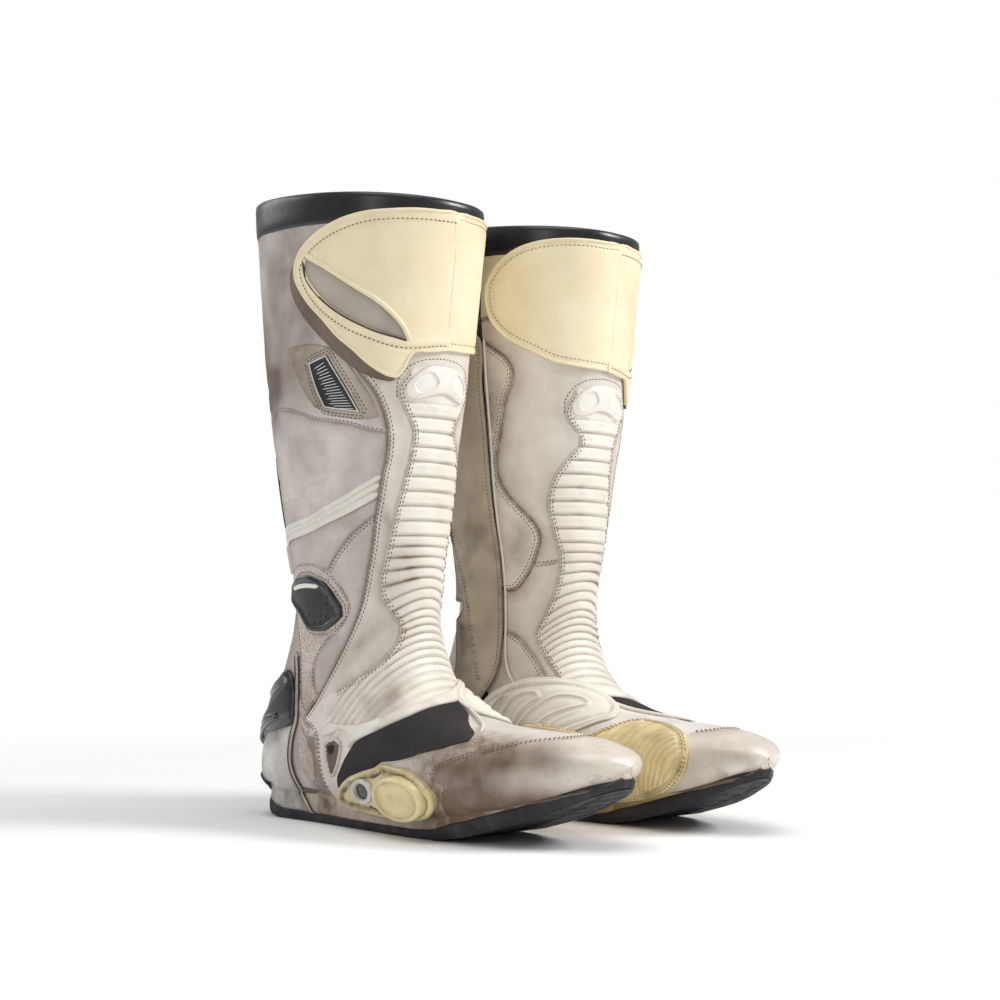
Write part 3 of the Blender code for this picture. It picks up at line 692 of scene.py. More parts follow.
def build_heights():
    global H, GRIME_AND_SHADE, KIND
    ins = ramp(ZONE, 0.2, 1.6)
    lines = rib_lines()
    k = np.clip(np.searchsorted(lines, RIB_Q), 1, len(lines) - 1)
    gap = lines[k] - lines[k - 1]
    t = (RIB_Q - lines[k - 1]) / gap
    flat = (t > 1.02) | (t < 0)
    t = np.where(flat, .5, np.clip(t, 0, 1))
    flex = 1 - ramp(GV, 9.6, 10.8)
    crown = 1 - np.abs(2 * t - 1) ** 3.4
    near_line = np.minimum(t, 1 - t) * gap
    bars = -.4 + .95 * crown - .85 * bell(near_line, 0, .8)
    welt = .5 * bell(t * gap, 2.6, .75) * (gap > 8)
    wob = noise(np.stack([GP[:, 0] / 5, GP[:, 1] / 5, RIB_Q], 1), 5.0, 3)
    live = ins * ramp(GV, 6.6, 7.2) * ~flat
    H = H + live * (bars * (1 - .3 * flex) + welt - .35 * flex * (1 - crown) + .4 * flex * wob)
    H = H + .5 * (1 - ramp(ZONE, -.2, 1.8)) * (ZONE > -9) * ramp(ZONE, -9, -1) * (GV > 9)
    soil = bell(t * gap, 0, 1.5) + .6 * bell((1 - t) * gap, 0, 1.0)
    upper = ramp(GV, 12.0, 12.5) * ramp(GV, 15.2, 14.6) * bell(GT, -10, 11.0)
    lower = ramp(GV, 10.7, 11.1) * ramp(GV, 12.4, 11.9) * bell(GT, 20, 20.0) * 1.15
    ankle = ramp(GV, 8.7, 9.3) * ramp(GV, 10.7, 10.1) * bell(GT, 36, 26.0) * 1.3
    spots = .45 + .55 * ramp(cloudy(GP, 16, 5), -.2, .4)
    worn = .4 * upper + .62 * lower + .6 * ankle
    GRIME_AND_SHADE = np.maximum(GRIME_AND_SHADE, live * (soil * (.3 + spots * worn) + .12 * lower))
    KIND[ZONE > 0.4] = ON_RIBS
    out, inn = (GT > 0) & (GT < 180), GT < 0
    KIND[(ZONE <= .4) & out & (GV > 9.9) & (GT > across(SEAM_A, GV))] = ON_CALF
    KIND[(ZONE <= .4) & inn & (GV > 11.95) & (GT < across(P1[:-4], GV))] = ON_INNER
    KIND[(GT > 180) & (GV > 9.2)] = ON_CALF
    quarter_top = np.interp(GT, [20, 36, 52, 64, 76, 92], [9, 8.97, 8.95, 9.15, 9.45, 9.9])
    KIND[(ZONE <= .4) & (GT > -36) & (GT < 180) & (GV < quarter_top)] = ON_QUARTER
    quarter_rear = np.interp(GV, [8.1, 8.41, 8.79, 9.2, 9.9], [133, 119, 104, 94.5, 93])
    KIND[(GT < 180) & (GV < 10) & (GT > quarter_rear) & (GV > 8.0)] = ON_CALF
    KIND[(GT < -36) & (GV < 9.9) & (GV > 4.4) & (ZONE <= .4)] = ON_BONE
    seam = np.interp(GT, [-138, -36, -20, 0, 24, 40, 54, 66, 78, 86, 91, 95, 138, 222, 264],
                     [5, 3.2, 2.9, 2.8, 2.91, 3.28, 3.65, 4.07, 4.55, 4.89, 5, 4.8, 5, 4.6, 3.4])
    KIND[GV < seam] = ON_TOE
    # the landing by the collar's closing end, in the darker cream that partly paints its shade
    KIND[(GV > 16.3) & (GT < -70)] = ON_LANDING
    KIND[(GV > 16.3) & (GT > 244)] = ON_LANDING
    for line, *how in GROOVES:
        groove(line, *how)
    ridge(HEEL_STRIP, 1.3, 2.6, .9)


build_heights()


def dents(side):
    """The leather's soft folds, its dirt, and painted shadow under the collar, which differ between the two
    boots: (height, grime).
    """
    s = 11 if side == "right" else 29
    f, z = GP[:, 1], GP[:, 2]

    def mottled(size, k, lo, hi):
        return ramp(cloudy(GP, size, s + k), lo, hi)

    toe = (1 - ramp(GV, 4.6, 6.5))
    outer = ramp(GT, 8, 60) * (GT < 180)
    streak = cloudy(GP * np.array([1, .35, 1.7]), 34, s + 6, 2)
    h = .6 * cloudy(GP, 42, s) * ramp(GV, 9.4, 11) + .22 * cloudy(GP, 14, s + 1) * (KIND != ON_TOE)
    folds = np.abs(noise(np.stack([GP[:, 0], f, z * 3.0], 1), 30, s + 2))
    h -= .5 * bell(folds, 0, .12) * mottled(60, 3, 0, .5) * (GV > 9.3) * (KIND == ON_CALF)
    h += toe * .35 * cloudy(GP, 26, s + 4)
    # all over, then the toe, the vamp, the ankle's ribs, the calf and the lower edge
    g = (KIND != ON_RIBS) * .3 * mottled(55, 5, -.05, .55) + .1 * mottled(12, 15, .1, .6)
    g += toe * (.3 * ramp(streak, -.5, .8) * ramp(z, 70, 48) + .24 * ramp(z, 44, 22))
    clean = .55 * bell(z, 44, 7.0) * ramp(f, 150, 190)
    g += outer * toe * ramp(f, 236, 200) * (.46 + .26 * ramp(streak, -.6, .6)) * (1 - clean)
    g += .3 * outer * (GV < 9.9) * (GV > 6.5) * mottled(26, 12, -.3, .4) * (KIND != ON_QUARTER)
    g += .34 * bell(GV, 9.6, .6) * bell(GT, 50, 24.0) * (ZONE > 0) * (.7 + .3 * mottled(14, 14, -.4, .4))
    g += .55 * bell(GV, 7.75, .42) * bell(GT, 44, 20.0) * (ZONE > 0) * (.6 + .4 * mottled(10, 16, -.4, .4))
    g += .3 * outer * (KIND == ON_CALF) * mottled(70, 13, -.4, .5)
    g += .4 * ramp(z, 34, 16) * (GV < 9.5)
    g += .4 * bell(f, 224, 14.0) * mottled(9, 8, 0, .5) * ramp(z, 56, 44)
    g += .4 * ramp(np.abs(GT - 150), 60, 20) * (GV > 10.5) * mottled(40, 9, -.3, .4)
    # the inner side's wavy overlay, the edge beside the zip, the hollow before the calf, and painted shadow
    # under the collar
    wavy = bell(GV, 12.9, .5) * bell(GT, -66, 11.0) + .8 * bell(GV, 15.3, .35) * bell(GT, -80, 10.0)
    g += .55 * wavy + .3 * bell(GT, -84, 7.0) * (GV > 12)
    hollow = .45 * bell(GV, 12.6, 1.4) * bell(GT, 36 + 6 * np.abs(GV - 12.6), 7.0)
    g += hollow * (ZONE < 0) * mottled(22, 10, -.5, .3)
    g += .3 * bell(GV, 10.1, .45) * bell(GT, 52, 18.0) * (ZONE < 0)
    # painted shadow below the collar's free end, on the outer side
    g += .35 * ramp(GV, 16.2, 15.6) * ramp(GV, 14.9, 15.5) * bell(GT, 95, 40.0)
    return h, np.clip(g, 0, 1)


SIDE_H, SIDE_G = {}, {}
for side in SIDES:
    dh, dg = dents(side)
    SIDE_H[side] = H + dh
    SIDE_G[side] = np.clip(np.maximum(GRIME_AND_SHADE, dg), 0, 1)


def skin_height(side, v, th):
    """The leather's height at any (v, theta), read from the grid."""
    grid = SIDE_H[side].reshape(len(V), len(T))
    th = np.where(th < T[0], th + 360, th)
    th = np.where(th > T[-1], th - 360, th)
    i = np.clip(np.searchsorted(V, v) - 1, 0, len(V) - 2)
    j = np.clip(np.searchsorted(T, th) - 1, 0, len(T) - 2)
    a = np.clip((v - V[i]) / (V[i + 1] - V[i]), 0, 1)
    b = np.clip((th - T[j]) / (T[j + 1] - T[j]), 0, 1)
    return (grid[i, j] * (1 - a) * (1 - b) + grid[i + 1, j] * a * (1 - b)
            + grid[i, j + 1] * (1 - a) * b + grid[i + 1, j + 1] * a * b)


INSIDE_FACE = .15  # the leather's edge walls reach down to this height
BLOCKS = {  # the leather pieces: (v0, v1, theta0, theta1)
    "toe_cap": [(0, 3.6, -138, 138), (3.6, 4.4, 48, 138), (3.6, 4.4, -138, -48)],
    "vamp": [(3.6, 4.4, -48, 48), (4.4, 7.6, -138, 138)],
    "quarter_outer": [(7.6, 9.2, 36, 138), (9.2, 10.7, 36, 112), (10.7, 12, 36, 156)],
    "quarter_inner": [(7.6, 9.2, -138, -36), (9.2, 9.7, -112, -36)],
    "shin_panel": [(7.6, 16.83, -36, 36)],
    "calf_outer": [(12, 16.83, 36, 156)],
    "calf_inner": [(9.7, 16.83, -84, -36)],
    "calf_rear": [(9.2, 10.7, 112, 252), (10.7, 16.83, 156, 264), (9.7, 10.7, 252, 264)],
}
QUAD_V = (V[:-1] + V[1:]) / 2
QUAD_T = np.append((T[:-1] + T[1:]) / 2, (T[-1] + T_END) / 2)
CORNERS = grid_quads(len(V), len(T), columns_join=True)
QV, QT = np.repeat(QUAD_V, len(T)), np.tile(QUAD_T, len(V) - 1)


def skins(side):
    """The leather pieces, cut from the one grid, each with walls down at its edges."""
    p = GP + GN * SIDE_H[side][:, None]
    for name, blocks in BLOCKS.items():
        take = np.zeros(len(QV), bool)
        for v0, v1, t0, t1 in blocks:
            for t in (QT, QT - 360):
                take |= (QV >= v0) & (QV < v1) & (t >= t0) & (t < t1)
        quads = CORNERS[take]
        used, idx = np.unique(quads, return_inverse=True)
        quads = idx.reshape(-1, 4)
        rim = rim_of(quads)
        verts = np.unique(rim)
        where = np.full(len(used), -1)
        where[verts] = np.arange(len(verts))
        outer = p[used]
        low = base(GV[used][verts], GT[used][verts]) + GN[used][verts] * INSIDE_FACE
        points = np.vstack([outer, outer[verts], low])
        m, r = len(outer), len(verts)
        a, b = m + where[rim[:, 0]], m + where[rim[:, 1]]
        walls = np.stack([b, a, a + r, b + r], 1)
        grime = np.concatenate([SIDE_G[side][used], SIDE_G[side][used][verts], SIDE_G[side][used][verts]])
        kinds = KIND[used][quads].astype(int)
        slots = np.concatenate([kinds.max(1), np.full(len(walls), kinds.max())])
        make(f"{name}_leather", side, "boot", points, [quads, walls], KINDS, name, True, slots=slots,
             grime=grime)


# ---------------------------------------------------------------- patches, piping, stitches
def patch_mesh(outline, low, high, r=.8, cell=1.7, feat=None, under=False, rings=(.35, .9, 1.7), butt=None,
               rows=()):
    """A piece with a clean rounded edge lying on the boot: points, faces, and (v, theta, distance in) of
    each point.

    Its top is at high above the surface, its edge comes down to low, and feat(v, theta, p, d) adds relief.
    Where butt(v, theta) holds, the outline is a plain cut and not a rounded edge."""
    loop = curve(outline, True, cell * .75)
    vc, tc = loop.mean(0)
    above = min(vc + .1, RIM)
    kv = np.linalg.norm(base(above, tc) - base(vc - .1, tc)) / (above - vc + .1)
    kt = np.linalg.norm(base(vc, tc + 1) - base(vc, tc - 1)) / 2
    scale = np.array([kt, kv])
    flat = loop[:, ::-1] * scale
    turn = np.sum(flat[:, 0] * np.roll(flat[:, 1], -1) - np.roll(flat[:, 0], -1) * flat[:, 1])
    if turn < 0:
        loop = loop[::-1]
    sign = winding(loop)
    loop3 = on(loop)
    pts = [loop[:, ::-1] * scale]
    for inset in rings:
        ring = shifted(loop, sign * inset, True)
        ok = inside(ring[:, 0], ring[:, 1], loop) & (nearest(on(ring), loop3, True)[0] > inset * .8)
        pts.append(ring[ok][:, ::-1] * scale)
    lo, hi = pts[0].min(0), pts[0].max(0)
    xs, ys = np.arange(lo[0], hi[0], cell), np.arange(lo[1], hi[1], cell * .866)
    gx, gy = np.meshgrid(xs, ys)
    gx = gx + (np.arange(len(ys)) % 2)[:, None] * cell / 2
    inner = np.stack([gx.ravel(), gy.ravel()], 1)
    uv = inner / scale
    keep = inside(uv[:, 1], uv[:, 0], loop)
    inner, uv = inner[keep], uv[keep]
    if len(inner):
        clear = nearest(base(uv[:, 1], uv[:, 0]), loop3, True)[0] > rings[-1] + .55 * cell
        inner, uv = inner[clear], uv[clear]
    for row in rows:
        clear = nearest(base(uv[:, 1], uv[:, 0]), on(row), True)[0] > .8
        inner, uv = inner[clear], uv[clear]
        pts.append(row[:, ::-1] * scale)
    pts.append(inner)
    verts, tris = triangulated(np.vstack(pts), len(loop))
    uv = verts / scale
    v, th = uv[:, 1].clip(TIP, RIM - .002), uv[:, 0]
    p0 = base(v, th)
    nn = normals(v, th)
    line = loop
    if butt is not None:
        cut = butt(loop[:, 0], loop[:, 1])
        line = np.roll(loop, -int(np.argmax(cut)), 0)
        line = line[~butt(line[:, 0], line[:, 1])]
    d, _, _ = nearest(p0, on(line), butt is None)
    a, b, c = p0[tris[:, 0]], p0[tris[:, 1]], p0[tris[:, 2]]
    flip = np.einsum("ij,ij->i", np.cross(b - a, c - a), nn[tris[:, 0]]) < 0
    tris[flip] = tris[flip][:, ::-1]
    q = np.minimum(d, r)
    top = high - r + np.sqrt(np.maximum(r * r - (r - q) ** 2, 0))
    if feat is not None:
        top = top + feat(v, th, p0, d) * ramp(d, 0, .8)
    outer = p0 + nn * top[:, None]
    rim = rim_of(tris)
    rv = np.unique(rim)
    where = np.full(len(outer), -1)
    where[rv] = np.arange(len(rv))
    m = len(outer)
    lowp = p0 + nn * low
    if under:
        points = np.vstack([outer, lowp])
        walls = np.stack([rim[:, 1], rim[:, 0], m + rim[:, 0], m + rim[:, 1]], 1)
        faces = [tris, tris[:, ::-1] + m, walls]
        info = [np.concatenate([x, x]) for x in (v, th, d)]
    else:
        points = np.vstack([outer, lowp[rv]])
        walls = np.stack([rim[:, 1], rim[:, 0], m + where[rim[:, 0]], m + where[rim[:, 1]]], 1)
        faces = [tris, walls]
        info = [np.concatenate([x, x[rv]]) for x in (v, th, d)]
    return points, faces, info[0], info[1], info[2], (line, sign, butt is None)


def tube(line, radius, off, sides=8, closed=False, flatten=1.0, tail=0.0):
    """A round cord laid along a surface line, its centre at that height."""
    return hose(surf(line[:, 0], line[:, 1], off), normals(line[:, 0], line[:, 1]), radius, sides, closed,
                flatten, tail)


def hose(p, n, radius, sides=8, closed=False, flatten=1.0, tail=0.0):
    """A round cord through points, with the directions away from the boot. Open ends narrow to a rounded
    tip."""
    t = unit(np.roll(p, -1, 0) - np.roll(p, 1, 0)) if closed else unit(np.gradient(p, axis=0))
    b = unit(np.cross(n, t))
    rad = np.full(len(p), float(radius))
    if not closed:
        s = travel(p)
        near_end = np.clip(np.minimum(s / (2.4 * radius), (s[-1] - s) / (tail or 2.4 * radius)), .02, 1)
        rad = rad * np.sqrt(1 - (1 - near_end) ** 2)
    a = np.linspace(0, 2 * np.pi, sides, endpoint=False)
    pts = (p[:, None] + rad[:, None, None] * (np.cos(a)[None, :, None] * b[:, None]
                                              + flatten * np.sin(a)[None, :, None] * n[:, None])).reshape(-1, 3)
    faces = [grid_quads(len(p), sides, closed, True)]
    if not closed:
        faces.append(np.array([list(range(sides))[::-1], list(range(len(pts) - sides, len(pts)))]))
    return pts, faces


SEWN = {}


def sew(key, line, off, pitch=3.0, size=(1.05, .36, .34), closed=False, phase=0.0):
    """Stitches along a surface line: off is a height or a function of (v, theta)."""
    p3 = on(line)
    if closed:
        line, p3 = np.vstack([line, line[:1]]), np.vstack([p3, p3[:1]])
    s = travel(p3)
    if s[-1] < pitch * 2:
        return
    at = np.arange(pitch * (.5 + phase), s[-1] - pitch * .3, pitch)
    v, th = np.interp(at, s, line[:, 0]), np.interp(at, s, line[:, 1])
    v2, th2 = np.interp(at + .4, s, line[:, 0]), np.interp(at + .4, s, line[:, 1])
    h = np.broadcast_to(off(v, th) if callable(off) else off, v.shape)
    n = normals(v, th)
    c = base(v, th) + n * h[:, None]
    t = unit(base(v2, th2) - base(v, th))
    t = unit(t - n * (t * n).sum(1)[:, None])
    b = np.cross(n, t)
    l, w, z = size
    shape = [(l, 0, -.1), (l * .55, w, 0), (l * .55, 0, z), (l * .55, -w, 0), (-l * .55, w, 0),
             (-l * .55, 0, z), (-l * .55, -w, 0), (-l, 0, -.1),
             (0, 0, -.35)]
    pts = np.stack([c + x * t + y * b + zz * n for x, y, zz in shape], 1)
    SEWN.setdefault(key, []).append(pts.reshape(-1, 3))


STITCH = np.array([(0, 1, 2), (0, 2, 3), (1, 4, 5), (1, 5, 2), (2, 5, 6), (2, 6, 3), (7, 5, 4), (7, 6, 5),
                   (0, 8, 1), (1, 8, 4), (4, 8, 7), (7, 8, 6), (6, 8, 3), (3, 8, 0)])


def sew_up():
    """Makes one mesh of all the stitches that share a side, body, name and material."""
    for (side, body, name, mat), groups in SEWN.items():
        pts = np.vstack(groups)
        count = len(pts) // 9
        tris = (STITCH[None] + np.arange(count)[:, None, None] * 9).reshape(-1, 3)
        make(name, side, body, pts, [tris], mat)


def on_skin(side, lift=.08):
    """The height of thread that lies on the leather."""
    return lambda v, th: skin_height(side, v, th) + lift


def seam_rows(side, points, offsets, mat=THREAD, name="stitching"):
    """Rows of stitches beside a sewn line, every second row half a stitch further on."""
    line = curve(points)
    for i, d in enumerate(offsets):
        sew((side, "boot", name, mat), shifted(line, d), on_skin(side), phase=.5 * (i % 2))


def patch(name, side, outline, low, high, mat, body="boot", slot=None, cad=None, grime=None, sew_at=(),
          sew_mat=THREAD, pad=None, inner=None, edge=None, **kw):
    """A patch as a piece, which takes the place of the CAD node that cad names, if given.

    pad is not used, sew_at the insets of its rows of stitches, inner the (inset, material) of its middle,
    edge the (radius, material) of a welt, and the rest goes to patch_mesh."""
    points, faces, v, th, d, (loop, sign, closed) = patch_mesh(outline, low, high, **kw)
    g = np.clip(.05 + .25 * cloudy(points, 30, 3 if side == "right" else 8), 0, 1) + .3 * np.exp(-d / 1.2)
    if grime is not None:
        g = g + grime(v, th, points, d)
    slots = None
    if inner is not None:
        middle = [(d[f].min(1) > inner[0]) if i == 0 else np.zeros(len(f)) for i, f in enumerate(faces)]
        slots = np.concatenate(middle).astype(int)
        mat = [mat, inner[1]]
    o = make(name, side, body, points, faces, mat, cad or slot, bool(cad), slots=slots, grime=np.clip(g, 0, 1))
    if edge is not None:
        welt = shifted(loop, sign * edge[0] * .8, closed)
        pts, faces = tube(welt[::2] if closed else welt[1:-1:2], edge[0], high - edge[0] * .35, 8, closed)
        make(f"{name}_edge", side, body, pts, faces, edge[1], cad or slot, grime=.12)
    feat = kw.get("feat")
    for i, inset in enumerate(sew_at):
        row = shifted(loop, sign * inset, closed)

        def height(a, b, inset=inset):
            f = feat(a, b, base(a, b), np.full(len(a), inset)) if feat else 0
            return high + f + .05
        stitches = "stitching" if body == "boot" else f"{body}_stitching"
        sew((side, body, stitches, sew_mat), row, height, closed=closed, phase=.5 * (i % 2))
    return o


def cord(name, side, points, radius, off, mat, body="boot", slot=None, closed=False, sides=8, flatten=1.0,
         grime=.1, shift=0.0, tail=0.0):
    """Piping along a surface line, sewn down."""
    line = curve(points, closed, 1.4)
    if shift:
        line = shifted(line, shift, closed)
    pts, faces = tube(line, radius, off, sides, closed, flatten, tail)
    make(name, side, body, pts, faces, mat, slot, grime=grime)


def off_line(p, line):
    """Distance of each point to a surface line."""
    return nearest(p, on(curve(line, False, 1.0)))[0]


# ---------------------------------------------------------------- the parts over the leather
COLLAR_IN = [(15.62, 1.25), (15.62, -5), (15.65, -20), (15.73, -38), (15.86, -50), (15.98, -61), (16.1, -70),
             (16.24, -76.5), (16.38, -79.5), (16.53, -79.5), (16.65, -76), (16.75, -70), (16.83, -62),
             (16.88, -52), (16.91, -40), (16.925, -22), (16.925, -8), (16.925, 1.25), (16.6, 1.3), (16.2, 1.3),
             (15.9, 1.3)]
COLLAR_OUT = [(16.925, 1.5), (16.92, 12), (16.91, 26), (16.89, 38), (16.87, 49), (16.83, 60), (16.77, 70),
              (16.69, 79), (16.6, 85.5), (16.5, 88.5), (16.41, 88.5), (16.3, 85.5), (16.18, 80.5), (16.01, 72),
              (15.82, 64), (15.66, 56), (15.48, 48.5), (15.35, 42), (15.26, 36), (15.23, 30.5), (15.33, 26.5),
              (15.48, 23.5), (15.57, 20), (15.57, 14), (15.59, 6), (15.61, 1.5), (15.9, 1.5), (16.3, 1.5),
              (16.7, 1.5)]
COLLAR_UNDER = [(16.55, 87), (16.48, 90.5), (16.41, 91.5), (16.29, 90.5), (16.13, 86), (15.96, 79),
                (15.75, 69.5), (15.52, 59.5), (15.33, 49.5), (15.22, 40), (15.19, 33), (15.3, 30), (15.45, 40),
                (15.62, 51), (15.8, 60), (16.0, 69), (16.2, 78), (16.35, 84)]
COLLAR_SEWN = [(16.84, 2), (16.835, 12), (16.825, 26), (16.81, 38), (16.79, 48), (16.75, 58), (16.69, 68),
               (16.62, 76), (16.54, 82), (16.47, 84.6), (16.4, 84), (16.3, 81.5), (16.15, 75), (16.0, 66),
               (15.86, 55.5), (15.75, 45), (15.66, 35), (15.62, 26), (15.63, 16), (15.655, 8), (15.67, 2)]
INLAY = [(16.55, 82, 1), (16.46, 72), (16.35, 62), (16.25, 53), (16.15, 44), (16.03, 36), (15.88, 29),
         (15.7, 24.5, 1), (15.76, 33), (15.82, 41), (15.92, 51), (16.05, 62), (16.18, 71), (16.3, 77.5),
         (16.4, 81.5), (16.48, 83)]
INLAY_TOP = [(16.575, 82), (16.475, 71.5), (16.362, 61.5), (16.265, 52.7), (16.165, 43.7), (16.042, 35.5),
             (15.892, 28.5), (15.71, 23.8)]
INLAY_LOW = [(16.53, 83.2), (16.4, 81.8), (16.3, 78), (16.178, 71.3), (16.047, 62.2), (15.917, 51.3),
             (15.817, 41.3), (15.757, 33), (15.7, 25)]
SHIN_PLATE = [(15.37, -12), (15.4, 0), (15.38, 11), (15.26, 19), (15.1, 25), (14.97, 24.5), (14.9, 18),
              (14.93, 11), (14.98, 4), (14.98, -4), (14.93, -11), (14.9, -18), (14.97, -24.5), (15.1, -25),
              (15.26, -19.5)]
BADGE_PATCH = [(15.84, 96, 1), (15.84, 88), (15.79, 76), (15.72, 68, 1), (15.56, 60.5), (15.3, 53.5),
               (15.0, 46), (14.72, 41.5, 1), (14.72, 49), (14.82, 62), (14.95, 73), (15.1, 82, 1), (15.3, 87),
               (15.6, 92)]
BADGE_AT = [(15.62, 82.5, 1), (15.66, 71, 1), (15.28, 62), (14.83, 52.5, 1), (14.92, 63), (15.03, 74.5, 1),
            (15.31, 79)]
ANKLE_PLATE = [(13.08, 126, 1), (13.03, 112), (12.84, 100), (12.58, 91, 1), (12.27, 84), (11.95, 78),
               (11.55, 71, 1), (11.27, 69, 1), (11.25, 74), (11.3, 81, 1), (11.5, 88), (11.79, 96, 1),
               (12.34, 110), (12.85, 130, 1)]
PERF_PATCH = [(13.36, 123), (13.21, 108), (12.99, 96), (12.7, 88), (12.34, 80), (11.86, 71), (11.38, 64.5),
              (11.12, 64.5), (11.0, 70), (10.98, 80), (10.75, 86), (10.4, 86), (9.95, 84.5, 1), (9.92, 91, 1),
              (10.35, 92.5), (10.86, 95), (11.56, 103.5), (12.14, 114), (12.7, 126), (13.15, 137)]
PERF_LOW = [(9.85, 94), (9.5, 96), (9.1, 101), (8.8, 109), (8.62, 120), (8.66, 126), (8.9, 121), (9.2, 110.5),
            (9.5, 102), (9.8, 96.5)]
HEEL_GUARD = [(11.45, 125), (11.37, 112), (10.97, 101), (10.4, 96), (10.1, 96.5, 1), (10.24, 103), (10.5, 117),
              (10.74, 135), (10.8, 160), (10.82, 180), (10.8, 200), (10.74, 225), (10.5, 242), (10.24, 253),
              (10.1, 257.5, 1), (10.4, 257.5), (10.97, 252.5), (11.37, 244), (11.45, 233), (11.55, 205),
              (11.58, 180), (11.55, 155)]
HEEL_CUP = [(10.78, 136), (10.5, 115), (10.26, 103), (10.08, 98), (9.9, 102.5), (9.7, 107.5), (9.45, 116),
            (9.22, 127), (9.06, 138, 1), (9.5, 139), (9.94, 140, 1), (9.98, 160), (9.98, 180), (9.98, 200),
            (9.94, 220, 1), (9.5, 221), (9.06, 222, 1), (9.22, 233), (9.45, 244), (9.7, 250.5), (9.9, 254),
            (10.08, 255.5), (10.26, 252), (10.5, 243), (10.78, 224), (10.86, 200), (10.88, 180), (10.86, 160)]
HEEL_RUBBER = [(9.97, 142), (10.15, 146), (10.34, 155), (10.44, 168), (10.46, 180), (10.44, 192), (10.34, 205),
               (10.15, 214), (9.97, 218), (9.97, 200), (9.97, 180), (9.97, 160)]
TOE_BASE = [(7.7, 132), (7.66, 118), (7.48, 106), (7.15, 97.5), (6.71, 91.5), (6.1, 88.5), (5.5, 89.5),
            (5.08, 95), (4.93, 104), (4.97, 114), (5.15, 126), (5.5, 135), (6.2, 139), (7.0, 139), (7.5, 137.5)]
BLACK_PANEL = [(7.74, 124), (7.9, 113), (7.9, 103), (7.86, 93), (7.64, 84), (7.13, 67), (6.7, 44), (6.6, 17),
               (6.72, -5, 1), (6.3, -4), (5.85, 0), (5.4, 9), (4.95, 20), (4.6, 32), (4.5, 45, 1), (4.86, 58.5),
               (5.42, 71.5), (6.0, 82.5), (6.5, 88.5), (7.0, 95), (7.3, 102), (7.48, 113), (7.55, 123)]
BAND_AT = [(7.86, -30), (7.5, -16), (7.16, -1), (6.93, 22), (7.21, 51), (7.83, 75), (8.5, 86), (9.1, 90.5, 1),
           (9.0, 93), (8.6, 90), (8.2, 87.5), (7.9, 91, 1), (7.64, 84), (7.13, 67), (6.7, 44), (6.6, 17),
           (6.75, -6), (7.3, -23)]
ANKLE_PAD = [(9.6, -89), (9.52, -82), (9.3, -76), (8.88, -65), (8.3, -48), (7.72, -28), (7.24, -13), (6.75, -6),
             (6.2, -7), (5.7, -16), (5.5, -30), (5.74, -44), (6.1, -60), (6.62, -76), (7.3, -86), (8.05, -92),
             (8.65, -95), (9.2, -95), (9.5, -93)]
SHIFT_PAD = [(2.95, -76), (3.2, -48), (3.68, -29), (4.25, -20), (4.76, -22), (5.1, -40), (5.5, -58),
             (5.85, -76), (6.1, -97), (6.05, -118), (5.7, -133), (4.8, -137), (4.0, -134), (3.35, -118),
             (3.0, -95)]
VENT = [(8.74, 96), (8.68, 92.6), (8.45, 91), (8.2, 91.6), (8.06, 96), (8.0, 104), (8.06, 112), (8.2, 112),
        (8.36, 106.5), (8.56, 100.5)]


def theta_where(v, f):
    """The inner side's theta at which the surface reaches f."""
    t = np.linspace(-90, -178, 400)
    return t[np.argmax(base(v, t)[:, 1] < f)]


FLAP_REAR = -35  # the f of the flap's straight rear edge
FLAP_NOTCH = ((12.42, FLAP_REAR, 1), (12.52, -26), (12.64, -25, 1), (12.86, -37, 1))  # v, f, sharp


def flap_outline():
    rear = [(v, theta_where(v, FLAP_REAR)) for v in (11.3, 12.0, 12.8, 13.6, 14.4, 15.1, 16.0)]
    rear[2:3] = [(v, theta_where(v, f), *sharp) for v, f, *sharp in FLAP_NOTCH]
    front = [(16.12, -83.6), (15.6, -83), (15.0, -82.6), (14.2, -82.6), (13.4, -82), (12.6, -79.8), (11.8, -75),
             (11.2, -71), (10.6, -69.4), (10.1, -71), (9.85, -75.5)]
    foot, top = [(9.75, -83), (9.82, -92), (10.2, -96), (10.8, -101)], [(16.2, (rear[-1][1] - 84) / 2)]
    return foot + rear + top + front


FLAP_LOOP = flap_outline()


def collar_relief(v, th, p, d):
    crown = .5 * ramp(d, 1.5, 9)
    edge = -.4 * bell(d, 4.6, .8) - .3 * bell(d, 2.3, .5)
    return crown + edge + .25 * cloudy(p, 30, 4)


def outer_collar_relief(v, th, p, d):
    loop = curve(INLAY, True)
    dist = nearest(p, on(loop), True)[0]
    sewn = off_line(p, COLLAR_SEWN)
    return (.5 * ramp(d, 1.5, 9) + .25 * cloudy(p, 30, 4) - .4 * bell(sewn, 0, .8) - .3 * bell(d, 2.3, .5)
            - 1.6 * inside(v, th, loop) * ramp(dist, 0, 1) + .5 * bell(sewn, 3.0, 1.8) * (v < 16.3))


def inlay_relief(v, th, p, d):
    return .3 * ramp(d, 0, 6) + .15 * cloudy(p, 9, 21)


LOBES = [[(15.24, 16 * s), (15.31, 9 * s), (15.14, 4 * s), (15.03, 9 * s), (15.0, 18 * s), (15.1, 20.5 * s)]
         for s in (-1, 1)]


def plate_relief(v, th, p, d):
    out = 0
    for lobe in LOBES:
        loop = curve(lobe, True)
        dist = nearest(p, on(loop), True)[0]
        out = out - .9 * inside(v, th, loop) * ramp(dist, 0,
                                                    1.0) + .3 * bell(dist, .9, .8) * ~inside(v, th, loop)
    return out + .5 * ramp(d, 0, 5)


def ankle_relief(v, th, p, d):
    return -.9 * ramp(d, 3.0, 4.2) + .35 * ramp(d, 5, 12)


def guard_relief(v, th, p, d):
    rear = ramp(np.abs(th - 180), 70, 10)
    return 1.0 * ramp(d, .5, 7) + 3.2 * rear - 1.8 * ramp(d, 5.0, 6.4) * ramp(v, 10.98, 11.08)


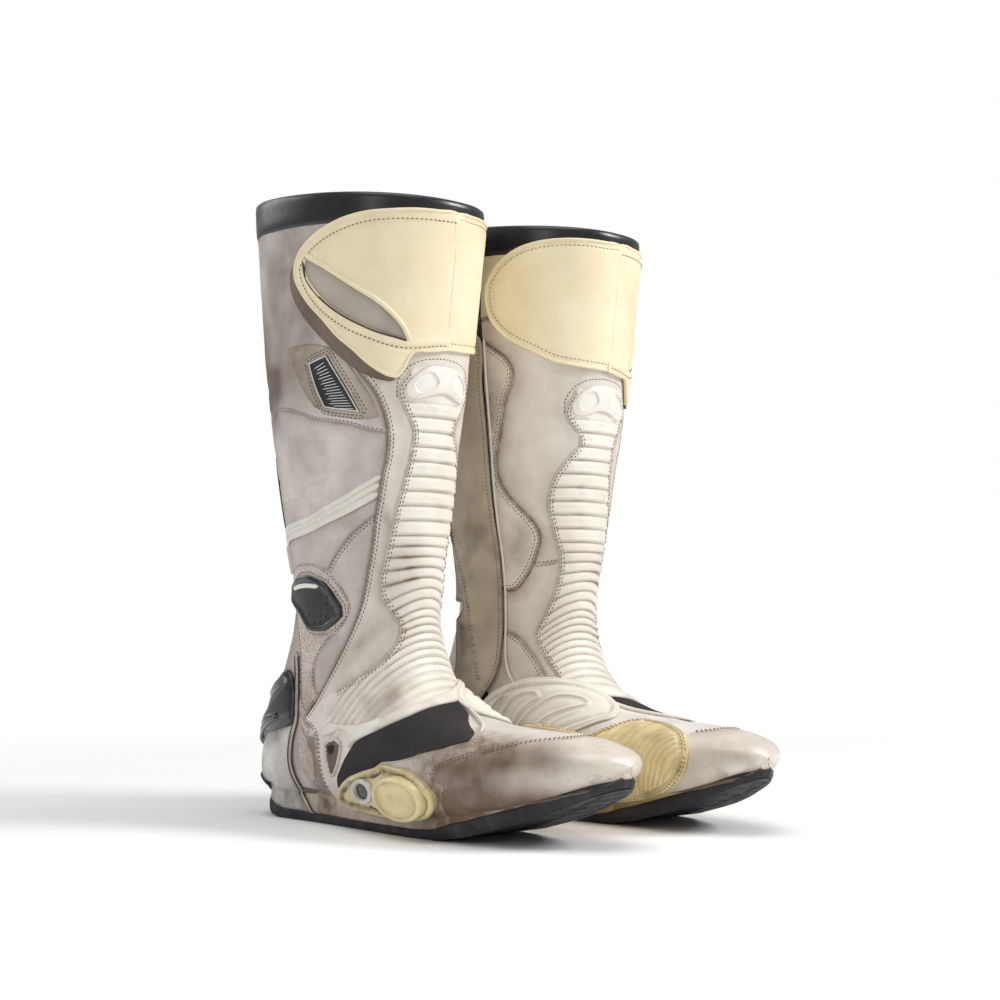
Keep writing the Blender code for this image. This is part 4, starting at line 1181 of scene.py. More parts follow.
def cup_relief(v, th, p, d):
    return .4 * ramp(d, 0, 3) + .5 * ramp(d, 5, 14) + .2 * cloudy(p, 18, 5)


def base_relief(v, th, p, d):
    return .9 * ramp(d, .4, 1.6) - 2.6 * ramp(d, 3.2, 4.6) + .25 * cloudy(p, 9, 8)


def panel_relief(v, th, p, d):
    return .7 * ramp(d, .5, 7) + .12 * cloudy(p, 12, 6)


SWIRLS = [[(8.42, -90), (8.6, -86), (8.66, -79), (8.58, -72), (8.34, -64), (7.98, -57.5), (7.86, -58.5),
           (7.95, -64), (8.1, -74), (8.12, -84)],
          [(7.92, -88), (7.86, -78), (7.68, -62), (7.44, -46), (7.06, -35), (6.66, -30), (6.46, -31.5),
           (6.56, -38), (6.82, -49), (7.18, -65), (7.36, -80)],
          [(8.86, -92), (9.1, -88.5), (9.1, -84), (8.98, -77)], [(9.0, -77), (8.8, -80), (8.72, -90)],
          [(6.4, -42), (6.8, -60), (7.02, -76)]]


def ankle_pad_relief(v, th, p, d):
    border = .9 * ramp(d, .3, 1.8) - 1.5 * bell(d, 5.0, 1.1)
    body = 1.0 * ramp(d, 5, 12)
    swirl = 0
    for line in SWIRLS:
        dist = off_line(p, line)
        swirl = swirl + .6 * bell(dist, 0, 1.3) - .6 * bell(dist, 2.8, 1.3)
    return border + body + swirl * ramp(d, 4.5, 7)


def shift_fold(v, th):
    return v + (.006 + .02 * np.clip(4.3 - v, 0, .8)) * (th + 50)


def shift_relief(v, th, p, d):
    wave = np.abs(((shift_fold(v, th) + .05 * noise(p, 16, 13)) / .24) % 1 - .5) * 2
    rib = 1.5 * (1 - wave ** 1.4) - .6 * bell(1 - wave, 0, .2)
    border = .7 * ramp(d, .3, 1.5) - .9 * bell(d, 4.6, .9)
    return border + rib * ramp(d, 5.2, 6.6) + .5 * ramp(d, 5, 12)


FLAP_MID = [(16.1, -117), (15.5, -120), (14.8, -123), (14.15, -122), (13.58, -118), (12.72, -109),
            (12.17, -101.5), (11.42, -91.5), (10.92, -87), (10.15, -83)]


def flap_relief(v, th, p, d):
    mid = off_line(p, FLAP_MID)
    return .45 * ramp(d, .5, 6) - .7 * bell(mid, 0, 1.0) + .35 * cloudy(p, 24, 17)


def rim_band(side):
    """The patent band round the mouth, rolled over at its top edge."""
    ang = np.arange(-84, 264.01, 1.5)
    rows = [(16.78, 1.6, 0), (16.79, 2.3, 0), (16.81, 2.8, 0), (16.85, 3.0, 0), (16.89, 3.0, 0),
            (16.93, 2.9, 0), (16.97, 2.9, 0),
            # v, height, lift
            (17.0, 2.4, .5), (17.0, .9, 1.6), (16.99, -.6, .5), (16.9, -1.2, 0), (16.6, -1.2, 0)]
    pts = []
    for v, h, lift in rows:
        p = surf(np.full(len(ang), v), ang, h + .35 * noise(base(np.full(len(ang), v), ang), 26, 31)
                 * (h > 1.5))
        p[:, 2] += lift
        pts.append(p)
    n, m = len(rows), len(ang)
    ends = np.array([[k * m for k in range(n)], [k * m + m - 1 for k in range(n)][::-1]])
    make("rim_band", side, "boot", np.vstack(pts), [grid_quads(n, m), ends], PATENT, "rim_cuff", True,
         grime=0.0)


def lining(side):
    """The boot's inner cloth, from the toe to the mouth, closed into a thin shell at both ends."""
    lines = np.concatenate([np.arange(.5, 10, .25), np.arange(10, 17.01, .16)])
    lines[-1] = 17.0
    ang = np.arange(0, 360, 4.0)
    p = np.vstack([surf(np.full(len(ang), v), ang, -1.3 + .25 * noise(base(np.full(len(ang), v), ang), 18, 41))
                   for v in lines])
    inner = np.vstack([surf(np.full(len(ang), v), ang, -2.4) for v in lines])
    n, m = len(lines), len(ang)
    outq = grid_quads(n, m, columns_join=True)
    size = n * m
    j = np.arange(m)
    k = (j + 1) % m
    topq = np.stack([(n - 1) * m + j, size + (n - 1) * m + j, size + (n - 1) * m + k, (n - 1) * m + k], 1)
    lowq = np.stack([j, k, size + k, size + j], 1)
    make("lining_mesh", side, "boot", np.vstack([p, inner]), [outq, outq[:, ::-1] + size, topq, lowq], LINING,
         "lining", True)


def ground(f):
    """The height of the sole's underside, which is level up to the ball and then springs up to the toe."""
    return np.interp(f, [-110, -92, -80, 118, 140, 164, 197, 221, 240], [4, 2.5, 0, 0, 3.2, 9.5, 18.5, 26, 33])


FEATHER_TOE, FEATHER_HEEL, FEATHER_OUT, FEATHER_IN, FEATHER_STEP = .3, 9.95, 138.1, 221, 1.1


def feather():
    """The line where the upper turns under to the sole, all round: (v, theta), evenly spaced."""
    v = np.concatenate([np.linspace(FEATHER_TOE, FEATHER_HEEL, 500), np.full(60, FEATHER_HEEL),
                        np.linspace(FEATHER_HEEL, FEATHER_TOE, 500), np.full(30, FEATHER_TOE)])
    th = np.concatenate([np.full(500, FEATHER_OUT), np.linspace(FEATHER_OUT, FEATHER_IN, 60),
                         np.full(500, float(FEATHER_IN)), np.linspace(FEATHER_IN, FEATHER_OUT, 30)])
    s = travel(base(v, th))
    at = np.linspace(0, s[-1], int(s[-1] / FEATHER_STEP), endpoint=False)
    return np.interp(at, s, v), np.interp(at, s, th)


FV, FT = feather()
FEATHER = surf(FV, FT, SKIN + .1)
ONWARD = np.roll(FEATHER, -3, 0) - np.roll(FEATHER, 3, 0)
FOUT = unit(np.stack([ONWARD[:, 1], -ONWARD[:, 0], np.zeros(len(ONWARD))], 1))
if (FOUT * (FEATHER - FEATHER.mean(0)))[:, :2].sum() < 0:
    FOUT = -FOUT
for _ in range(6):
    FOUT = unit(FOUT + np.roll(FOUT, 2, 0) + np.roll(FOUT, -2, 0))


def edge_height(f):
    """How far above the ground line the black edge of the sole reaches."""
    return np.interp(f, [-100, -88, -78, -60, 20, 95, 112, 132, 172, 202, 222, 240],
                     [11.5, 11.0, 9.8, 6.2, 5.2, 5.2, 6.2, 9.6, 10.6, 9.8, 7.6, 6.0])


def outward(quads, points, out):
    """The quads, turned over if most of them face away from the directions given."""
    nor = np.cross(points[quads[:, 2]] - points[quads[:, 0]], points[quads[:, 3]] - points[quads[:, 1]])
    return quads[:, ::-1] if np.median(np.einsum("ij,ij->i", nor, out)) < 0 else quads


def wraps(side):
    """The upper below the feather line: it curls down and under to meet the sole."""
    n = len(FV)
    low = FEATHER - FOUT * 1.2
    low[:, 2] = ground(low[:, 1]) + edge_height(low[:, 1])
    down = unit(surf(FV, np.where(FT < 180, FT + 1.5, FT - 1.5), SKIN)
                - surf(FV, np.where(FT < 180, FT - 1.5, FT + 1.5), SKIN))
    heel = np.abs(FT - 180) < 40.9
    back = unit(surf(FV - .05, FT, SKIN) - surf(FV + .05, FT, SKIN))
    down[heel] = back[heel] * np.where(FV[heel] > 5, 1, -1)[:, None]
    span = np.linalg.norm(low - FEATHER, axis=1)[:, None]
    p1, p2 = FEATHER + down * span * .35, low + np.array([0, 0, 1.0]) * span * .35 + FOUT * .8
    rows = [surf(FV, FT, .7) - down * 3.0]
    for t in (0, .12, .26, .42, .58, .74, .88, 1.0):
        rows.append((1 - t) ** 3 * FEATHER + 3 * t * (1 - t) ** 2 * p1 + 3 * t * t * (1 - t) * p2
                    + t ** 3 * low)
    rows.append(low - FOUT * 2.5 + np.array([0, 0, .3]))
    p = np.stack(rows, 1)
    m = p.shape[1]
    p = p + FOUT[:, None] * (.25 * cloudy(p, 16, 5))[..., None]
    part = np.where(FV < 3.1, 0, np.where(FV > 9.02, 3, np.where((FT > 180) & (FV > 3.1) & (FV < 6.0), 2, 1)))
    part = np.where((FV > 9.9) & heel, 4, part)
    # the leather's grime and the shade painted on it, taken just above the feather line for the wrap below
    i, j = np.clip(np.searchsorted(V, FV), 0, len(V) - 1), np.searchsorted(T, np.where(FT < 180, 137, 222))
    soil = SIDE_G[side].reshape(len(V), len(T))[i, j]
    k = np.flatnonzero(FT < 140)[np.argmin(np.abs(FV[FT < 140] - 9.0))]
    step = 1 if FV[(k + 5) % n] < FV[k] else -1
    at = np.arange(1, m - 1)
    trail = (k + step * np.round(13 * ((at - 1) / (m - 3)) ** 1.4).astype(int)) % n
    for name, mat, radius, off, lift in (("heel_strip_end", BONE, 2.4, 0, .2),
                                         ("heel_strip_end_edge_0", EDGE, .8, 2, .9),
                                         ("heel_strip_end_edge_1", EDGE, .8, -2, .9)):
        pts, faces = hose(p[(trail + off) % n, at] + FOUT[trail] * lift, FOUT[trail], radius, 8, flatten=.6)
        make(name, side, "boot", pts, faces, mat, "heel_cup", grime=.45)
    every = grid_quads(n, m, rows_join=True)[:, TURNED].reshape(n, m - 1, 4)
    for code, (name, mat, slot) in enumerate((("toe_wrap", TOE, "toe_cap"), ("quarter_wrap", BONE, "vamp"),
                                              ("shift_wrap", SHIFT, "shift_pad"),
                                              ("heel_wrap", SHELL, "heel_cup"),
                                              ("heel_edge", RUBBER, "outsole"))):
        used, quads = np.unique(every[part == code].reshape(-1, 4), return_inverse=True)
        quads = quads.reshape(-1, 4)
        flat = p.reshape(-1, 3)[used]
        quads = outward(quads, flat, FOUT[np.clip(used[quads[:, 0]] // m, 0, n - 1)])
        low_down = np.exp(-(flat[:, 2] - ground(flat[:, 1]) - edge_height(flat[:, 1])) / 4.0)
        g = soil[np.clip(used // m, 0,
                         n - 1)] * (1 - .5 * low_down) + .4 * low_down + .2 * cloudy(flat, 24,
                                                                                     6 if side == "right"
                                                                                     else 12)
        make(name, side, "boot", flat, [quads], mat, slot, grime=np.clip(g, 0, 1))


def sole(side):
    """Outsole: a thin edge with fine slanting ridges, and a treaded base that turns up at the toe."""
    n = len(FV)
    rows = []
    z0 = ground(FEATHER[:, 1])
    for t, out in ((-.12, -2.2), (0.0, -.6), (.03, -.1), (.12, .15), (.25, .2), (.4, .15), (.55, 0), (.7, -.3),
                   (.85, -.8), (1.0, -1.8)):
        z = z0 + edge_height(FEATHER[:, 1]) * (1 - t)
        slant = (FEATHER[:, 1] + (z - z0) * 1.6) / 4.2
        rib = .5 * np.abs((slant % 1) * 2 - 1) * (.05 < t < .95)
        q = FEATHER + FOUT * (out - rib + 2.6 * ramp(-FEATHER[:, 1], 78, 92))[:, None]
        q[:, 2] = z
        rows.append(q)
    p = np.stack(rows, 1)
    m = p.shape[1]
    flat = p.reshape(-1, 3)
    quads = grid_quads(n, m, rows_join=True)[:, TURNED]
    quads = outward(quads, flat, FOUT[quads[:, 0] // m])
    loop = p[:, -1, :2]
    lo, hi = loop.min(0), loop.max(0)
    gx, gy = np.meshgrid(np.arange(lo[0], hi[0], 2.4), np.arange(lo[1], hi[1], 2.1))
    gx = gx + (np.arange(gx.shape[0]) % 2)[:, None] * 1.2
    pts = np.stack([gx.ravel(), gy.ravel()], 1)
    ok = inside(pts[:, 0], pts[:, 1], loop)
    flat_loop = np.c_[loop, np.zeros(len(loop))]
    d = nearest(np.c_[pts, np.zeros(len(pts))], flat_loop, True)[0]
    q, tris = triangulated(np.vstack([loop, pts[ok & (d > 1.3)]]), n)
    a, b, c = (q[tris[:, k]] for k in range(3))
    area2 = (b[:, 0] - a[:, 0]) * (c[:, 1] - a[:, 1]) - (b[:, 1] - a[:, 1]) * (c[:, 0] - a[:, 0])
    tris[area2 > 0] = tris[area2 > 0][:, ::-1]  # faces down
    d = nearest(np.c_[q, np.zeros(len(q))], flat_loop, True)[0]
    cut = ((q[:, 1] + 4 * np.cos(q[:, 0] / 14)) % 11 < 2.6) | ((np.abs(q[:, 0]) % 26) < 1.6)
    z = ground(q[:, 1]) + 1.3 * cut * (d > 4)
    base3 = np.c_[q, z]
    top3 = np.c_[q, ground(q[:, 1]) + edge_height(q[:, 1]) * 1.1]
    size = len(flat)
    allp = np.vstack([flat, base3, top3])
    g = np.clip(.55 * ramp(cloudy(allp, 30, 19), -.2, .6) + .3 * ramp(allp[:, 2], 4, 0), 0, 1)
    make("outsole_rubber", side, "boot", allp, [quads, tris + size, tris[:, ::-1] + size + len(q)], RUBBER,
         "outsole", True, grime=g)


def dished(name, side, at, size, rows, mat, slot, replaces=False, grime=None, lift=0.0, turn=0.0):
    """An oval moulding in the surface's tangent plane at (v, theta): rows of (share of the size, height),
    closed in the middle."""
    v0, t0 = np.array([at[0]]), np.array([at[1]])
    n = normals(v0, t0)[0]
    centre = surf(v0, t0, np.array([lift]))[0]
    along = unit(np.array([0, 1.0, 0]) - n * n[1])
    up = np.cross(n, along)
    along, up = along * math.cos(turn) + up * math.sin(turn), up * math.cos(turn) - along * math.sin(turn)
    a = np.linspace(0, 2 * np.pi, 56, endpoint=False)
    pts = [centre + (np.cos(a) * size[0] * k)[:, None] * along + (np.sin(a) * size[1] * k)[:, None] * up
           + h * n for k, h in rows]
    closed = rows[-1][0] < .5
    if closed:
        pts.append((centre + rows[-1][1] * n)[None])
    p = np.vstack(pts)
    m = len(a)
    quads = grid_quads(len(rows), m, columns_join=True)[:, TURNED]
    last = (len(rows) - 1) * m
    tris = np.stack([last + np.arange(m), last + (np.arange(m) + 1) % m, np.full(m, len(p) - 1)],
                    1) if closed else np.zeros((0, 3), int)
    nor = np.cross(p[quads[0, 1]] - p[quads[0, 0]], p[quads[0, 3]] - p[quads[0, 0]])
    if nor @ (p[quads[0, 0]] - centre) < 0:
        quads, tris = quads[:, ::-1], tris[:, ::-1]
    rad = np.sqrt((((p - centre) @ along) / size[0]) ** 2 + (((p - centre) @ up) / size[1]) ** 2)
    g = grime(rad, p) if grime else 0.1
    make(name, side, "boot", p, [quads, tris], mat, slot, replaces, grime=np.clip(g, 0, 1))


def slider_parts(side):
    """The toe slider's wearing disc, the loop beside it, and the slots between them."""
    dished("toe_slider_face", side, (5.76, 106.5), (25, 15), [(1.0, -6), (1.0, .4), (.985, 1.2), (.95, 1.8),
                                                              (.9, 2.1), (.84, 2.0), (.79, 1.5), (.74, 1.35),
                                                              (.5, 1.6), (.2, 1.75)], SLIDER, "toe_slider_disc",
           True, lift=8.6, grime=lambda r, p: (.7 * bell(r, .8, .06) + .35 * ramp(r, .6, 0))
           * (.6 + .6 * cloudy(p, 8, 3)))
    dished("toe_slider_loop", side, (6.86, 110), (13.5, 8.6),
           [(1.0, -5), (1.0, .3), (.95, .9), (.85, 1.1), (.72, .9), (.64, .2), (.62, -2.5)], SHELL,
           "toe_slider_base", lift=7.2, turn=.15, grime=lambda r, p: .35 * bell(r, .62, .1))
    dished("toe_slider_well", side, (6.86, 110), (8.6, 5.4), [(1.0, -4), (1.0, .2), (.9, .4), (.4, .5)], BLACK,
           "toe_slider_base", lift=5.8, turn=.15)
    for k, (at, turn) in enumerate((((6.55, 93.5), .35), ((6.6, 131), -.4))):
        dished(f"toe_slider_slot_{k}", side, at, (6.5, 1.9), [(1.0, -4), (1.0, .1), (.7, .3), (.3, .35)], BLACK,
               "toe_slider_base", lift=5.6, turn=turn)


def teeth(side):
    """Zip tape and its two rows of teeth."""
    line = curve([(v, -90) for v in (16.9, 16.2, 15, 14, 13, 12, 11, 10.3, 9.8)], False, 2.0)
    cols = [shifted(line, d) for d in (-4.6, -2.4, -.3, .3, 2.4, 4.6)]
    pts = np.stack([surf(c[:, 0], c[:, 1], h) for c, h in zip(cols, (.7, .9, .7, .7, .9, .7))], 1)
    n, m = pts.shape[:2]
    flat = pts.reshape(-1, 3)
    quads = grid_quads(n, m)[:, TURNED]
    t = np.cross(flat[quads[0, 1]] - flat[quads[0, 0]], flat[quads[0, 3]] - flat[quads[0, 0]])
    if t @ normals(line[:, 0], line[:, 1])[0] < 0:
        quads = quads[:, ::-1]
    make("zip_tape_cloth", side, "boot", flat, [quads], LINING, "zip_tape", True)
    for d, ph in ((-1.0, 0.0), (1.0, .5)):
        sew((side, "boot", "zip_teeth", STEEL), shifted(line, d), 1.2, pitch=2.0, size=(.75, 1.1, .8), phase=ph)


# which way a row beside each of these outlines moves
SPIN = {"badge": -winding(curve(BADGE_AT, True)), "plate": -winding(curve(ANKLE_PLATE, True)),
        "inlay": winding(curve(INLAY, True))}
STROKES = 17  # of the badge's hatch


def overlays(side):
    """What lies on the leather: collar, plates, badge, guards, pads, the zip's flap, and piping."""
    patch("collar_band_leather", side, COLLAR_IN, 2.6, 5.0, CREAM, cad="collar_band", feat=collar_relief, r=.9,
          cell=2.2, under=True, sew_at=(5.2,), sew_mat=CREAM_THREAD, pad=.7, butt=lambda v, th: th > .6,
          edge=(1.3, CREAM))
    patch("collar_flap_leather", side, COLLAR_OUT, 2.8, 5.0, CREAM, body="collar_flap", cad="collar_flap",
          feat=outer_collar_relief, r=.9, cell=1.7, under=True, pad=.7, butt=lambda v, th: th < 2.1,
          edge=(1.3, CREAM), rows=[curve(INLAY, True), shifted(curve(INLAY, True), .9 * SPIN["inlay"], True)])
    sew((side, "collar_flap", "collar_flap_stitching", CREAM_THREAD), curve(COLLAR_SEWN), 5.75,
        size=(1.1, .4, .4))
    # the collar's underside along its free edge: a darker underlayer, its colour partly painted shade of the
    # gap beneath
    patch("collar_underside_and_shade", side, COLLAR_UNDER, 2.7, 4.3, UNDER, body="collar_flap", slot="collar_flap", r=.8,
          cell=1.8, under=True)
    patch("collar_inlay_leather", side, INLAY, 3.0, 4.3, INLAY_SKIN, body="collar_flap", cad="collar_inlay",
          feat=inlay_relief, r=.2, cell=1.5, grime=lambda v, th, p, d: .5 * np.exp(-d / 2.5))
    cord("collar_fold", side, INLAY_TOP, 1.7, 5.5, CREAM, "collar_flap", "collar_flap", sides=10)
    cord("collar_inlay_edge", side, INLAY_LOW, .8, 5.0, EDGE, "collar_flap", "collar_inlay", sides=6, grime=.6)
    patch("shin_plate_shell", side, SHIN_PLATE, 1.6, 4.0, WHITE, cad="shin_plate", feat=plate_relief, r=1.2,
          cell=1.1, rings=(.3, .7, 1.2))
    for k, lobe in enumerate(LOBES):
        cord(f"shin_plate_lobe_{k}", side, lobe, .6, 4.3, WHITE, slot="shin_plate", closed=True, sides=7)
    patch("badge_patch", side, BADGE_PATCH, 1.5, 3.0, TAUPE, r=.6, cell=1.8,
          grime=lambda v, th, p, d: .45 * ramp(th, 62, 88) + .15)
    patch("badge_plate", side, BADGE_AT, 2.6, 4.4, BADGE, cad="badge", r=.8, cell=1.2,
          feat=lambda v, th, p, d: -.3 * ramp(d, 1.4, 2.2))
    cord("badge_rim", side, BADGE_AT, .5, 4.2, INK, slot="badge", closed=True, sides=6,
         shift=-.8 * SPIN["badge"])
    for inset in (2.4, 4.4):
        sew((side, "boot", "stitching", THREAD), shifted(curve(BADGE_AT, True), inset * SPIN["badge"], True),
            3.15, closed=True)
    strokes = []
    for k in range(STROKES):
        t = (k + .5) / STROKES
        a, b = np.array([15.6 - .72 * t, 72.8 - 17.3 * t]), np.array([15.54 - .54 * t, 80.5 - 7.0 * t])
        far = .8 - .12 * (k % 2)
        strokes.append(tube(curve([a, a + (b - a) * far * .5, a + (b - a) * far], False, 1.5), .3, 4.2, 5))
    at = np.cumsum([0] + [len(p) for p, _ in strokes])
    faces = [f + a for (_, some), a in zip(strokes, at) for f in some]
    make("badge_strokes", side, "boot", np.vstack([p for p, _ in strokes]), faces, INK, "badge", grime=0.0)
    patch("ankle_patch", side, PERF_PATCH, 1.2, 2.9, PERF, r=.6, cell=1.8, sew_at=(1.4,),
          grime=lambda v, th, p, d: .1 + .3 * ramp(v, 11.4, 10.4))
    patch("quarter_tongue", side, PERF_LOW, 1.2, 2.9, PERF, r=.6, cell=1.6, grime=lambda v, th, p, d: .3)
    patch("ankle_plate_shell", side, ANKLE_PLATE, 2.6, 6.4, BLACK, cad="ankle_plate", r=1.3, cell=1.2,
          feat=ankle_relief, inner=(4.0, BADGE))
    sew((side, "boot", "stitching", THREAD), shifted(curve(ANKLE_PLATE, True), 2.6 * SPIN["plate"], True), 3.0,
        closed=True)
    cord("ankle_plate_bar", side, [(12.93, 120), (12.83, 110), (12.66, 99), (12.47, 90.5)], 1.7, 6.2, WHITE,
         slot="ankle_plate", sides=8, flatten=.6)
    for i, j in itertools.product(range(5), range(4)):
        v, th = 12.25 - .16 * i, 98 - 4.4 * j + 2.0 * (i % 2) - 3.0 * i
        stud = np.array([(v + dv, th) for dv in (-.016, 0, .016, .04)])
        sew((side, "boot", "plate_studs", BLACK), stud, 5.9, pitch=1.0, size=(.55, .55, .35))
    patch("heel_guard_shell", side, HEEL_GUARD, 2.0, 5.4, BLACK, cad="heel_guard", r=1.4, cell=1.8,
          feat=guard_relief)
    for k, (v, height) in enumerate(((10.92, 7.0), (10.84, 6.6), (10.76, 6.2))):
        step = [(v - .3, 109 - 2 * k), (v - .1, 122), (v, 145), (v + .02, 180), (v, 215), (v - .1, 238),
                (v - .3, 251 + 2 * k)]
        cord(f"heel_guard_step_{k}", side, step, 1.1, height, BLACK, slot="heel_guard")
    patch("heel_cup_shell", side, HEEL_CUP, .8, 3.0, SHELL, cad="heel_cup", r=.9, cell=2.2, feat=cup_relief,
          grime=lambda v, th, p, d: .75 * ramp(cloudy(p, 22, 7), -.05, .5) + .4 * ramp(p[:, 2], 30, 12))
    patch("heel_rubber", side, HEEL_RUBBER, .8, 5.6, RUBBER, slot="outsole", r=1.0, cell=1.8,
          feat=lambda v, th, p, d: -2.4 * ramp(v, 10.28, 9.98))
    patch("toe_slider_plate", side, TOE_BASE, 1.6, 7.2, SLIDER, cad="toe_slider_base", r=1.6, cell=1.2,
          feat=base_relief, grime=lambda v, th, p, d: .9 * bell(d, 4.4, 1.2)
          + .5 * ramp(d, 3, 6) * ramp(cloudy(p, 9, 8), -.1, .5))
    slider_parts(side)
    patch("instep_panel_suede", side, BLACK_PANEL, 1.2, 3.0, MATTE, cad="instep_panel", r=.7, cell=2.0,
          feat=panel_relief, pad=.4)
    patch("instep_band_leather", side, BAND_AT, 1.2, 3.9, BAND, cad="instep_band", r=.9, cell=1.4,
          feat=lambda v, th, p, d: .5 * ramp(d, 0, 3) + .3 * cloudy(p, 9, 12),
          grime=lambda v, th, p, d: .2 * ramp(cloudy(p, 12, 4), .1, .6))
    patch("ankle_pad_leather", side, ANKLE_PAD, 1.4, 4.6, PAD, cad="ankle_pad", r=1.0, cell=1.25,
          feat=ankle_pad_relief, pad=.6, grime=lambda v, th, p, d: .25 * bell(d, 5, 1.3)
          + .3 * ramp(d, 5, 8) * ramp(th, -62, -88))
    for k, line in enumerate(SWIRLS[:3]):
        cord(f"ankle_pad_piping_{k}", side, line, .9, 6.8, BAND, slot="ankle_pad", sides=7)
    cord("ankle_pad_edge", side, ANKLE_PAD, 1.3, 3.6, BAND, slot="ankle_pad", closed=True, sides=8, flatten=.8)
    patch("shift_pad_leather", side, SHIFT_PAD, 1.2, 3.9, SHIFT, cad="shift_pad", r=.9, cell=1.15,
          feat=shift_relief, pad=.5, sew_at=(1.6, 3.4), sew_mat=CREAM_THREAD,
          grime=lambda v, th, p, d: .3 * ramp(cloudy(p, 20, 14), -.1, .5) + .3 * bell(d, 5, .8))
    patch("zip_flap_leather", side, FLAP_LOOP, 4.9, 7.0, FLAP, body="zip_flap", cad="zip_flap",
          feat=flap_relief, r=.7, cell=2.1, under=True, sew_at=(2.2,),
          grime=lambda v, th, p, d: .35 * ramp(cloudy(p, 26, 15), 0, .5)
          + .5 * ramp(th, across(FLAP_MID, v, 2), across(FLAP_MID, v, -10)))
    for d in (-1.2, 1.2):
        sew((side, "zip_flap", "zip_flap_stitching", THREAD), shifted(curve(FLAP_MID), d), 7.15)
    patch("vent_eyelet", side, VENT, 1.5, 3.9, BAND, r=.7, cell=.9, rings=(.25, .6),
          feat=lambda v, th, p, d: -1.2 * ramp(d, 1.7, 2.4), inner=(1.9, UNDER), grime=lambda v, th, p, d: .2)
    patch("vent_opening", side, [(8.6, 96.4), (8.56, 94.4), (8.42, 94), (8.36, 96.4), (8.44, 98.6)], 1.5, 3.3,
          MATTE, r=.3, cell=.9, rings=(.25, .6))
    stretch = [(14.95, 146), (14.95, 180), (14.95, 214), (14.5, 219), (14.06, 216), (14.02, 180), (14.06, 144),
               (14.5, 140.5)]
    patch("rear_stretch", side, stretch, 1.2, 3.2, MATTE, slot="calf_rear", r=.7, cell=2.2)
    patch("rear_tab", side, [(13.86, 140, 1), (13.86, 152, 1), (13.5, 150, 1), (13.44, 143)], 1.2, 4.6, BAND,
          slot="calf_rear", r=.7, cell=1.5)
    # the folded end of the instep band, over the front of the ankle
    cord("instep_fold", side, LOOP_EDGE, 1.9, 3.2, BAND, slot="instep_band", sides=10, flatten=.8, grime=.15,
         tail=60.0)
    # the pale ribs across the calf
    for k, r in enumerate((1.9, 2.3, 2.8)):
        upper, lower = curve(DIAGS[k], False, 1.5), curve(DIAGS[k + 1], False, 1.5)
        t = np.linspace(0, 1, 120)
        mid = [np.interp(t, np.linspace(0, 1, len(c)), c[:, i]) for i in (0, 1) for c in (upper, lower)]
        line = np.stack([(mid[0] + mid[1]) / 2, (mid[2] + mid[3]) / 2], 1)
        pts, faces = tube(line, r, 2.0, 10, flatten=.55)
        make(f"calf_rib_{k}", side, "boot", pts, faces, BAND, "calf_outer", grime=.18)
    # piping: along the zip opening, and the heel strips' painted edges
    front = [(16.1, -81.6), (15.4, -81.2), (14.8, -81.2), (14.0, -81.4), (13.2, -80.7), (12.6, -78.6),
             (11.8, -73.7), (11.1, -69.4), (10.5, -67.6), (9.9, -67.4), (9.4, -68.4), (9.05, -69)]
    cord("zip_piping", side, front, 1.0, 3.4, BAND, slot="calf_inner")
    for k, d in enumerate((-2.3, 2.3)):
        cord(f"heel_strip_edge_{k}", side, HEEL_STRIP, .8, 2.6, EDGE, slot="quarter_outer", sides=6, shift=d,
             grime=.5)


SEAMS = [(RIB_EDGE_OUT + NOSE[1:], (1.7, 3.5)), (RIB_EDGE_IN, (-1.7, -3.5)), (SEAM_A, (1.8, 3.8)),
         (TOE_SEAM, (1.2, 2.8)), (PANEL_STITCH, (0, 1.6), PALE_THREAD, "pale_stitching"), (POCKET, (1.7,)),
         (DIAGS[3], (1.9,)), (CURVED, (1.5, 3.3)), (P1, (1.8, 3.8)), (CROSS, (-1.4, 1.4)),
         (CUFF_SEAM, (1.6, 3.4)), (QUARTER_SEAM, (1.7, 3.4)), (BACK_HIGH, (-1.7, 1.7)), (BACK_LOW, (-1.7, 1.7)),
         (LANDING_SEAM, (1.7,))]


def seams(side):
    """Every row of thread that is sewn through the leather itself."""
    for seam in SEAMS:
        seam_rows(side, *seam)
    for s in (-1, 1):
        plate = curve([(15.47, 14 * s), (15.38, 23 * s), (15.18, 30 * s), (14.95, 30.5 * s)])
        sew((side, "boot", "stitching", THREAD), plate, on_skin(side))
    sew((side, "boot", "stitching", THREAD), curve([(15.47, -14), (15.5, 0), (15.47, 14)]), on_skin(side))
    # fine stitches down in the grooves between the ribs
    q = RIB_Q.reshape(len(V), len(T))
    zone = ZONE.reshape(len(V), len(T))
    rows = np.flatnonzero((V > 8.2) & (V < 15.2))
    cols = np.flatnonzero((T > -44) & (T < 44))
    for z in rib_lines()[1:-1]:
        line = []
        for j in cols:
            col = q[rows, j]
            if col.min() < z < col.max():
                v = np.interp(z, col, V[rows])
                if np.interp(v, V, zone[:, j]) > 2.5:
                    line.append((v, T[j]))
        if len(line) > 8:
            sew((side, "boot", "rib_stitching", THREAD), np.array(line), on_skin(side, .12), pitch=2.3,
                size=(.62, .26, .24))


for side in SIDES:
    skins(side)
    rim_band(side)
    lining(side)
    wraps(side)
    sole(side)
    teeth(side)
    overlays(side)
    seams(side)
sew_up()

for name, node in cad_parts.items():
    if not node.hide_render:
        node.data.materials.clear()
        node.data.materials.append(STEEL if "zip_" in name else BOARD)

